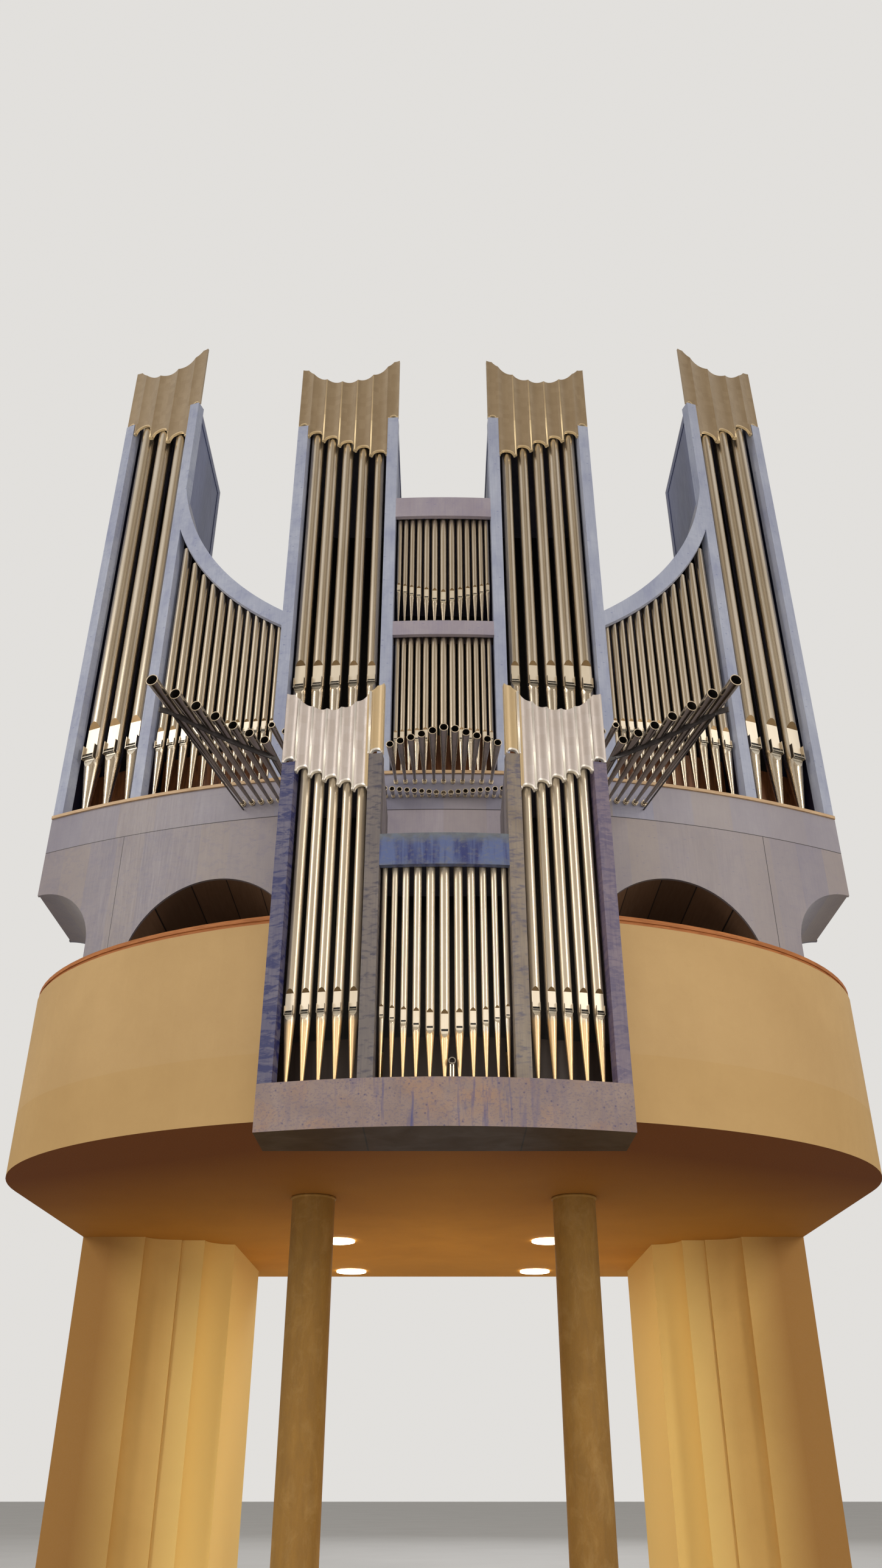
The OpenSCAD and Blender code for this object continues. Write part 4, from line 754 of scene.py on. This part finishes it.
def tube_into(mesh, points, radius, sides=8):
    """A round rod along points."""
    rings = []
    for i, point in enumerate(points):
        way = (points[min(i + 1, len(points) - 1)] - points[max(i - 1, 0)]).normalized()
        rings.append([mesh.verts.new(point + out * radius) for out in spokes(way, sides)])
    for ring, after in zip(rings, rings[1:]):
        skin(mesh, ring, after)
    for ring in (rings[0][::-1], rings[-1]):
        mesh.faces.new(ring)


# Which faces of a pipe are lips: how squarely they look to the front and how near the flat they lie, and for
# the arch above the upper lip how far they tilt up or down and turn aside
LIP_FACING = 0.999
LIP_OFF = 0.01
ARCH_FACING = 0.5
ARCH_TILT_FROM, ARCH_TILT_TO = 0.15, 0.6
ARCH_TURN = 0.02
# The levels of the lips from the mouth, in diameters
LIPS_FROM, LIPS_TO = -1.2, 2.6
LOWER_LIP_TO = 0.1
# How far the skins stand before the metal
SHEET = 0.0012


def lips(name):
    """Skins a sheet's thickness before the metal: painted highlight on each pipe's lips, painted shade on the
    arch above.
    """
    upper, arch, lower = bmesh.new(), bmesh.new(), bmesh.new()
    for pipe in PIPES[name]:
        for face in pipe.faces:
            out = face_normal(pipe.corners, face)
            if out is None:
                continue
            points = pipe.corners[list(face)]
            middle = points.mean(axis=0) - [pipe.x, pipe.y, 0]
            facing = out @ pipe.front
            level = facing > LIP_FACING and abs(middle @ pipe.front - pipe.flat) < LIP_OFF * pipe.d
            tilted = ARCH_TILT_FROM < abs(out[2]) < ARCH_TILT_TO
            slope = tilted and abs(out @ pipe.side) < ARCH_TURN and facing > ARCH_FACING
            rise = (middle[2] - pipe.mouth) / pipe.d
            if not (level or slope) or not LIPS_FROM < rise < LIPS_TO:
                continue
            mesh = lower if rise < LOWER_LIP_TO else upper if level else arch
            mesh.faces.new([mesh.verts.new(Vector(p) + Vector(out) * SHEET) for p in points])
    # Painted highlight in paler metal on the lips, painted shade in dark metal on the arches above the upper
    # lips.
    for mesh, kind, material in ((upper, "upper_lips", "lip_highlight_metal"), (arch, "lip_arch_shades", "arch_shade_metal"),
                                 (lower, "lower_lips", "lower_lip_highlight_metal")):
        if mesh.faces:
            bmesh.ops.remove_doubles(mesh, verts=mesh.verts, dist=WELD_DISTANCE)
            new_piece(f"{name}_{kind}", mesh, material)


# The painted shade in the mouths, in shares of a pipe's diameter, with its gap to the lips in metres
SLIT_INSET = 0.032
SLIT_SINK = 0.005
SLIT_DEPTH = 0.16
SLIT_GAP = 0.002


def mouth_slits(name):
    """A near-black box in each mouth: painted shade for the dark inside of the pipe."""
    mesh = bmesh.new()
    for pipe in PIPES[name]:
        half = pipe.half - SLIT_INSET * pipe.d
        corner = pipe.place(-half, pipe.flat - SLIT_SINK * pipe.d, pipe.mouth + SLIT_GAP)
        box_into(mesh, corner, Vector(pipe.side) * 2 * half, Vector(pipe.front) * -SLIT_DEPTH * pipe.d,
                 Vector((0, 0, CUT_UP * pipe.d - 2 * SLIT_GAP)))
    new_piece(name + "_slits", mesh, "pipe_inner_shade")


# How far the near-black skins stand over the rollers
ROLLER_SKIN = 0.001
ROLLER_SIDES = 16


def rollers(name):
    """A near-black skin on the roller between the ears of each mouth."""
    mesh = bmesh.new()
    for pipe in PIPES[name]:
        width = ROLLER * pipe.d
        ends = [pipe.place(side * pipe.half, pipe.flat + width, pipe.mouth - width / 2) for side in (-1, 1)]
        tube_into(mesh, ends, width / 2 + ROLLER_SKIN, ROLLER_SIDES)
    new_piece(name + "_rollers", mesh, "roller_dark", True)


# The pipes' open tops: the wall round them, and the disc's lift
BORE_WALL = 0.004
BORE_LIFT = 0.001
BORE_SIDES = 32


def pipe_bores(name):
    """A near-black disc on each pipe's top, inside its wall: painted shade for the dark of its open bore."""
    mesh = bmesh.new()
    for pipe in PIPES[name]:
        mesh.faces.new(level_ring(mesh, pipe.x, pipe.y, pipe.top + BORE_LIFT, pipe.r - BORE_WALL, BORE_SIDES))
    new_piece(name + "_bores", mesh, "pipe_inner_shade")


# Trumpets: the bell's rolled rim, and a boot of a share of the bell's diameter with its rings and tuning hook
RIM_HALF = 0.0045
RIM_INSET = 0.004
RIM_BACK = 0.001
BOOT_SHARE = 0.24
BOOT_RINGS = 0.02, 0.05
BOOT_RING_HALF = 0.006
HOOK_R = 0.0025
# Bends of the hook, along the boot and above it
HOOK_BENDS = (0.03, 0.0), (0.03, 0.03), (0.045, 0.042), (0.075, 0.042)


def rod_axis(corners, faces):
    """The foot and the bell of a long solid, and the bell's radius."""
    own = own_corners(corners, faces)
    middle = own.mean(axis=0)
    axis = np.linalg.svd(own - middle, full_matrices=False)[2][0]
    along = (own - middle) @ axis
    ends = []
    for sign in (-1, 1):
        ring = own[along * sign > (along * sign).max() - BELL_DEPTH]
        centre = (ring.min(axis=0) + ring.max(axis=0)) / 2
        ends.append((centre, np.linalg.norm(ring - centre, axis=1).max()))
    bell, foot = sorted(ends, key=lambda end: -end[1])
    return Vector(foot[0]), Vector(bell[0]), bell[1]


def trumpet_trim(name):
    """Rolled rims on the bells, rings on the boots and a tuning hook over each boot."""
    rims, boots = bmesh.new(), bmesh.new()
    for corners, faces in solids(name):
        foot, bell, radius = rod_axis(corners, faces)
        way = (bell - foot).normalized()
        turned_ring(rims, bell - way * RIM_BACK, way, radius - RIM_INSET, RIM_HALF)
        boot_r = BOOT_SHARE * radius * 2
        for step in BOOT_RINGS:
            turned_ring(boots, foot + way * step, way, boot_r, BOOT_RING_HALF)
        rise = Vector((0, 0, 1)) - way * way.z
        rise.normalize()
        hook = [foot + way * along + rise * (boot_r + above) for along, above in HOOK_BENDS]
        tube_into(boots, hook, HOOK_R)
    new_piece(name + "_rims", rims, "rim_metal", True)
    new_piece(name + "_boots", boots, "rim_metal", True)


# Veils: beads on the ribs and a band along the lower edges as painted highlight, and creases of painted shade
# beside the ribs
BEAD_R = 0.012
BEAD_SIDES = 12
BEAD_SINK = 0.8 * BEAD_R
BEAD_FOOT, BEAD_HEAD = 0.002, 0.004
CREASE_W = 0.006
CREASE_DEPTH = 0.01
CREASE_SINK = 1.1 * BEAD_R
CREASE_FOOT, CREASE_HEAD = 0.004, 0.006
BAND_H = 0.02
BAND_DEPTH = 0.03
BAND_PROUD, BAND_BELOW = 0.002, 0.001
# How a rib's crest is told from the flutes, and one rib from the next
CREST_DEPTH = 0.0006
RIB_GAP = 0.04
SHORTEST_RIB = 0.1
# How squarely a front looks forward or an underside down, and how far each may look the other way
FRONT_FACING, FRONT_TILT = 0.3, 0.1
UNDER_FACING, UNDER_TILT = -0.1, 0.3


class Veil:
    """A fluted veil's turn and the crests of its ribs, measured on its solid."""

    def __init__(self, corners, faces):
        own = own_corners(corners, faces)
        crosses = [face_cross(corners, face) for face in faces]
        back = max((c for c in crosses if c[1] > 0), key=np.linalg.norm)
        self.front = -back / np.linalg.norm(back)
        self.side = np.array([-self.front[1], self.front[0], 0.0])
        reach = own @ self.front
        self.crest_reach = reach.max()
        crest = own[reach > self.crest_reach - CREST_DEPTH]
        along = crest @ self.side
        order = np.argsort(along)
        groups = np.split(order, np.where(np.diff(along[order]) > RIB_GAP)[0] + 1)
        self.ribs = [(along[g].mean(), crest[g, 2].min(), crest[g, 2].max()) for g in groups if len(g) > 1]

    def place(self, side, reach, z):
        """The point at this level, so far along the veil and to its front."""
        return Vector(self.side) * side + Vector(self.front) * reach + Vector((0, 0, z))


def trim_ribs(veil, beads, creases):
    """A bead along each rib's crest, and a dark strip of painted shade at each side of it."""
    for along, low, high in veil.ribs:
        if high - low < SHORTEST_RIB:
            continue
        reach = veil.crest_reach - BEAD_SINK
        ends = [veil.place(along, reach, z) for z in (low + BEAD_FOOT, high - BEAD_HEAD)]
        tube_into(beads, ends, BEAD_R, BEAD_SIDES)
        for side in (-1, 1):
            corner = veil.place(along + side * (BEAD_R + CREASE_W / 2) - CREASE_W / 2,
                                veil.crest_reach - CREASE_SINK, low + CREASE_FOOT)
            box_into(creases, corner, Vector(veil.side) * CREASE_W, Vector(veil.front) * -CREASE_DEPTH,
                     Vector((0, 0, high - low - CREASE_FOOT - CREASE_HEAD)))


def trim_edge(veil, corners, faces, bands):
    """A band up the front and back under the veil, along each edge between its front and its underside."""
    normals, edges = {}, {}
    for face in faces:
        normal = face_normal(corners, face)
        if normal is None:
            continue
        normals[face] = normal
        keys = [tuple(np.round(corners[c], WELD_DIGITS)) for c in face]
        for a, b in zip(keys, keys[1:] + keys[:1]):
            edges.setdefault(frozenset((a, b)), []).append(face)
    rise = Vector((0, 0, BAND_H))
    back = Vector(veil.front) * -BAND_DEPTH
    for edge, pair in edges.items():
        if len(edge) != 2 or len(pair) != 2:
            continue
        looks = [(face, normals[face] @ veil.front, normals[face][2]) for face in pair]
        fronts = [face for face, ahead, up in looks if ahead > FRONT_FACING and abs(up) < FRONT_TILT]
        unders = [face for face, ahead, up in looks if up < UNDER_FACING and abs(ahead) < UNDER_TILT]
        if len(fronts) == 1 and len(unders) == 1:
            out = Vector(normals[fronts[0]]) * BAND_PROUD
            down = Vector(normals[unders[0]]) * BAND_BELOW
            a, b = (Vector(point) for point in edge)
            for strip in ((a + out, b + out, b + out + rise, a + out + rise),
                          (a + out, b + out, b + down + back, a + down + back)):
                bands.faces.new([bands.verts.new(v) for v in strip])


def veil_trim(name, material):
    """Ribs' beads and lower edges' bands as painted highlight, and creases beside the ribs as painted shade.
    """
    beads, creases, bands = bmesh.new(), bmesh.new(), bmesh.new()
    for corners, faces in solids(name):
        veil = Veil(corners, faces)
        trim_ribs(veil, beads, creases)
        trim_edge(veil, corners, faces, bands)
    new_piece(name + "_ribs", beads, material, True)
    # Painted shade in the creases; painted highlight on the beads and bands.
    new_piece(name + "_creases", creases, "crease_shade")
    new_piece(name + "_bands", bands, material)


# Lamps: the dome's width in lamp widths, and its rings as shares of its radius, each so far below the lamp
LENS_SPREAD = 2.4
LENS_SIDES = 40
LENS_GAP = 0.001
LENS_DOME = (1.0, LENS_GAP), (0.85, 0.006), (0.5, 0.011)
# Columns: half the bead's thickness, and how far below the column's head it lies
COLLAR_HALF = 0.015
COLLAR_DROP = 0.016
COLLAR_SIDES = 64


def lamp_lenses():
    """Shallow glowing domes over the ceiling lamps."""
    mesh = bmesh.new()
    for corners, faces in solids("ceiling_lamps"):
        own = own_corners(corners, faces)
        low, high = own.min(axis=0), own.max(axis=0)
        x, y, _ = (low + high) / 2
        r = LENS_SPREAD * (high[0] - low[0]) / 2
        rims = [(1.0, high[2] - LENS_GAP)] + [(share, low[2] - drop) for share, drop in LENS_DOME]
        rings = [level_ring(mesh, x, y, z, share * r, LENS_SIDES) for share, z in rims]
        for ring, after in zip(rings, rings[1:]):
            skin(mesh, after, ring)
        mesh.faces.new(rings[-1])
    new_piece("lamp_lenses", mesh, "lamp_glass", True)


def column_collars():
    """A thin bead where each column meets the slab."""
    mesh = bmesh.new()
    for corners, faces in solids("columns"):
        own = own_corners(corners, faces)
        low, high = own.min(axis=0), own.max(axis=0)
        x, y, _ = (low + high) / 2
        turned_ring(mesh, Vector((x, y, high[2] - COLLAR_DROP)), Vector((0, 0, 1)), (high[0] - low[0]) / 2,
                    COLLAR_HALF, COLLAR_SIDES)
    new_piece("column_collars", mesh, "concrete", True)


# Boards on the case's back, and their gaps to its ends
BATTEN_W = 0.13
BATTEN_T = 0.022
CHAMFER = 0.008
FOOT_GAP = 0.02
HEAD_GAP = 0.03
# Where its upright boards stand from the middle, and the levels of its cross boards
TOWER_X = 3.75
INNER_X = 2.1
FIELD_X = 1.0
DOOR_POST_X = 0.55
LOW_RAIL = 7.95
SWOOP_RAIL = 10.9
MIDDLE_RAIL = 11.0
HIGH_RAIL = 13.3
# Its access door, from its middle and the case's foot: the leaf, its two fields and their moulding
DOOR_HALF = 0.5
DOOR_FROM, DOOR_TO = 0.06, 2.1
DOOR_T = 0.03
FIELD_HALF = 0.38
FIELD_LEVELS = (0.2, 1.0), (1.12, 1.96)
MOULDING_W = 0.03
MOULDING_T = 0.038
# The door's hinges, and its grip's bends off the back and from its middle
HINGE_X = -0.51
HINGE_Y = 0.03
HINGE_LEVELS = 0.35, 1.8
HINGE_HALF = 0.05
HINGE_R = 0.009
GRIP_X = 0.44
GRIP_LEVEL = 1.05
GRIP_BENDS = (0.028, -0.07), (0.062, -0.07), (0.066, -0.06), (0.066, 0.06), (0.062, 0.07), (0.028, 0.07)
GRIP_R = 0.007
FITTING_SIDES = 12


def batten(mesh, x0, x1, z0, z1, thick=BATTEN_T):
    """A board on the rear face with chamfered edges."""
    rings = []
    for inset, depth in ((0, 0), (0, thick - CHAMFER), (CHAMFER, thick)):
        outline = ((x0 + inset, z0 + inset), (x1 - inset, z0 + inset), (x1 - inset, z1 - inset),
                   (x0 + inset, z1 - inset))
        rings.append([mesh.verts.new((x, REAR_Y + depth, z)) for x, z in outline])
    for ring, after in zip(rings, rings[1:]):
        skin(mesh, after, ring)
    mesh.faces.new(rings[-1][::-1])


def rear_frames():
    """Stiles and rails that stiffen the case's back, the same on both sides of its middle."""
    w = BATTEN_W
    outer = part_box("case_roofs")[1].x
    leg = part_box("base_legs")[1].x
    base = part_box("case_back")[0].z
    outer_top, inner_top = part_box("outer_tower_posts")[1].z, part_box("inner_tower_posts")[1].z
    field_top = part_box("upper_rail")[1].z
    stiles = ((outer - w, LOW_RAIL, outer_top), (TOWER_X, base, outer_top), (INNER_X - w, base, inner_top),
              (FIELD_X, LOW_RAIL, inner_top))
    rails = ((TOWER_X + w, outer - w, (LOW_RAIL, MIDDLE_RAIL, HIGH_RAIL, outer_top - w - HEAD_GAP)),
             (INNER_X, TOWER_X, (LOW_RAIL, SWOOP_RAIL)),
             (FIELD_X + w, INNER_X - w, (LOW_RAIL, MIDDLE_RAIL, inner_top - w - HEAD_GAP)))
    foot_rails = (INNER_X, TOWER_X), (TOWER_X + w, leg - FOOT_GAP), (DOOR_POST_X, INNER_X - w)
    mesh = bmesh.new()
    for side in (-1, 1):
        for x, low, top in stiles:
            batten(mesh, *sorted((side * x, side * (x + w))), low + FOOT_GAP, top - HEAD_GAP)
        for x0, x1, levels in rails:
            for z in levels:
                batten(mesh, *sorted((side * x0, side * x1)), z, z + w)
        for x0, x1 in foot_rails:
            batten(mesh, *sorted((side * x0, side * x1)), base + FOOT_GAP, base + w)
    for z in (LOW_RAIL, MIDDLE_RAIL, field_top - w):
        batten(mesh, -FIELD_X, FIELD_X, z, z + w)
    new_piece("rear_battens", mesh, "post_wood")


def access_door():
    """The door in the case's back: a leaf with two moulded fields, two hinges and a grip."""
    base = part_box("case_back")[0].z
    door, mouldings, fittings = bmesh.new(), bmesh.new(), bmesh.new()
    batten(door, -DOOR_HALF, DOOR_HALF, base + DOOR_FROM, base + DOOR_TO, DOOR_T)
    new_piece("rear_door", door, "roof_wood")
    for low, high in FIELD_LEVELS:
        z0, z1 = base + low, base + high
        for a, b in ((z0, z0 + MOULDING_W), (z1 - MOULDING_W, z1)):
            batten(mouldings, -FIELD_HALF, FIELD_HALF, a, b, MOULDING_T)
        for a, b in ((-FIELD_HALF, MOULDING_W - FIELD_HALF), (FIELD_HALF - MOULDING_W, FIELD_HALF)):
            batten(mouldings, a, b, z0, z1, MOULDING_T)
    new_piece("rear_door_mouldings", mouldings, "post_wood")
    for level in HINGE_LEVELS:
        ends = [Vector((HINGE_X, REAR_Y + HINGE_Y, base + level + end)) for end in (-HINGE_HALF, HINGE_HALF)]
        tube_into(fittings, ends, HINGE_R, FITTING_SIDES)
    bends = [Vector((GRIP_X, REAR_Y + off, base + GRIP_LEVEL + rise)) for off, rise in GRIP_BENDS]
    tube_into(fittings, bends, GRIP_R, FITTING_SIDES)
    new_piece("rear_door_fittings", fittings, "dark_steel", True)


# Camera, light and floor
def camera():
    """The photograph's viewing angle."""
    data = bpy.data.cameras.new("camera")
    data.sensor_fit = "VERTICAL"
    data.sensor_height = SENSOR
    data.lens = FOCAL_PX / FRAME_H * SENSOR
    data.clip_end = CLIP_END
    cam = bpy.data.objects.new("camera", data)
    bpy.context.scene.collection.objects.link(cam)
    cam.location = EYE
    cam.rotation_euler = (math.radians(90) + PITCH, 0, 0)
    bpy.context.scene.camera = cam


def area_light(name, place, target, size, watts, colour):
    """A soft light of this width and height at a place, turned to a target."""
    data = bpy.data.lights.new(name, "AREA")
    data.shape = "RECTANGLE"
    data.size, data.size_y = size
    data.energy = watts
    data.color = colour
    lamp = bpy.data.objects.new(name, data)
    bpy.context.scene.collection.objects.link(lamp)
    lamp.location = place
    lamp.rotation_euler = (Vector(target) - lamp.location).to_track_quat("-Z", "Y").to_euler()


# Strength of the surroundings as a light, and as the camera and metal see them
AROUND_LIT, AROUND_SEEN = 0.32, 0.8
# Colours of the surroundings
PALE_WALL = (0.95, 0.93, 0.9)
BROWN_WALL = (0.22, 0.16, 0.1)
WARM_WALL = (0.48, 0.4, 0.3)
CREAM_WALL = (0.85, 0.77, 0.64)
BRIGHT_WALL = (1.0, 0.97, 0.93)
# The front walls that metal sees, from left to right
FRONT_WALLS = ((0.0, WARM_WALL), (0.12, BRIGHT_WALL), (0.26, BRIGHT_WALL), (0.37, WARM_WALL),
               (0.46, WARM_WALL), (0.52, CREAM_WALL), (0.6, WARM_WALL), (0.7, BROWN_WALL),
               (0.8, BRIGHT_WALL), (0.9, BRIGHT_WALL), (1.0, WARM_WALL))
# How far a direction turns to the rear where the pale wall begins, and where it is whole
REAR_FROM, REAR_TO = 0.0, 0.25
FLOOR_SIZE = 160


def studio():
    """Two side lights, one low at the front, one behind, one under the gallery, and pale surroundings."""
    area_light("key_left", (-20, -15, 15), (0, -1, 9), (4, 14), 2200, (1.0, 0.95, 0.88))
    area_light("key_right", (17, -18, 12), (0, -1, 8), (3, 12), 1900, (1.0, 0.94, 0.86))
    area_light("low_front", (0, -24, 5), (0, -3, 7), (14, 5), 900, (1.0, 0.95, 0.9))
    area_light("back_fill", (4, 22, 16), (0, 0, 9), (12, 10), 1500, (0.92, 0.95, 1.0))
    area_light("under_gallery", (0, 2.3, 4.0), (0, 2.4, 0), (1.6, 1.2), 45, (1.0, 0.86, 0.62))
    world = bpy.data.worlds.new("studio")
    world.use_nodes = True
    t = Tree(world.node_tree)
    back = t.tree.nodes["Background"]
    path = t.add("ShaderNodeLightPath").outputs
    seen = t.math("MAXIMUM", path["Is Camera Ray"], path["Is Glossy Ray"])
    seen = t.math("MAXIMUM", seen, path["Is Transmission Ray"])
    t.link(t.spread(seen, 0.0, 1.0, AROUND_LIT, AROUND_SEEN), back.inputs["Strength"])
    t.link(studio_walls(t, path["Is Glossy Ray"]), back.inputs["Color"])
    bpy.context.scene.world = world


def studio_walls(t, glossy):
    """Pale all round as a light. Metal sees brown, warm and bright walls in front and pale ones behind."""
    direction = t.add("ShaderNodeTexCoord").outputs["Generated"]
    walls = t.ramp(t.spread(t.axis_of(direction, "X"), -1.0, 1.0), *FRONT_WALLS)
    rearward = t.spread(t.axis_of(direction, "Y"), REAR_FROM, REAR_TO)
    return t.mix(glossy, PALE_WALL, t.mix(rearward, walls, PALE_WALL))


def floor():
    """A wide pale floor, which isn't part of the object."""
    bpy.ops.mesh.primitive_plane_add(size=FLOOR_SIZE, location=(0, 0, 0))
    ground = bpy.context.object
    ground.name = "studio_floor"
    t = Material("studio_floor")
    mottle = t.noise((0.6, 0.6, 0.6), 4)
    t.set(Base_Color=t.ramp(mottle, (0.3, (0.70, 0.68, 0.65)), (0.7, (0.74, 0.72, 0.69))), Roughness=0.7)
    ground.data.materials.append(LOOKS["studio_floor"])


# The whole scene
make_materials()
dress_nodes()
for name in ("outer_tower_pipes", "inner_tower_pipes", "swoop_pipes", "chair_tower_pipes"):
    rollers(name)
for name in ("outer_veils", "inner_veils"):
    veil_trim(name, "rib_highlight_leaf")
veil_trim("chair_veils", "rib_highlight_white")
for name in PIPE_NODES:
    lips(name)
    mouth_slits(name)
    pipe_bores(name)
for name in ("side_trumpets", "middle_trumpets", "small_trumpets"):
    trumpet_trim(name)
lamp_lenses()
column_collars()
rear_frames()
access_door()
camera()
studio()
floor()
bpy.context.scene.view_settings.view_transform = "Standard"
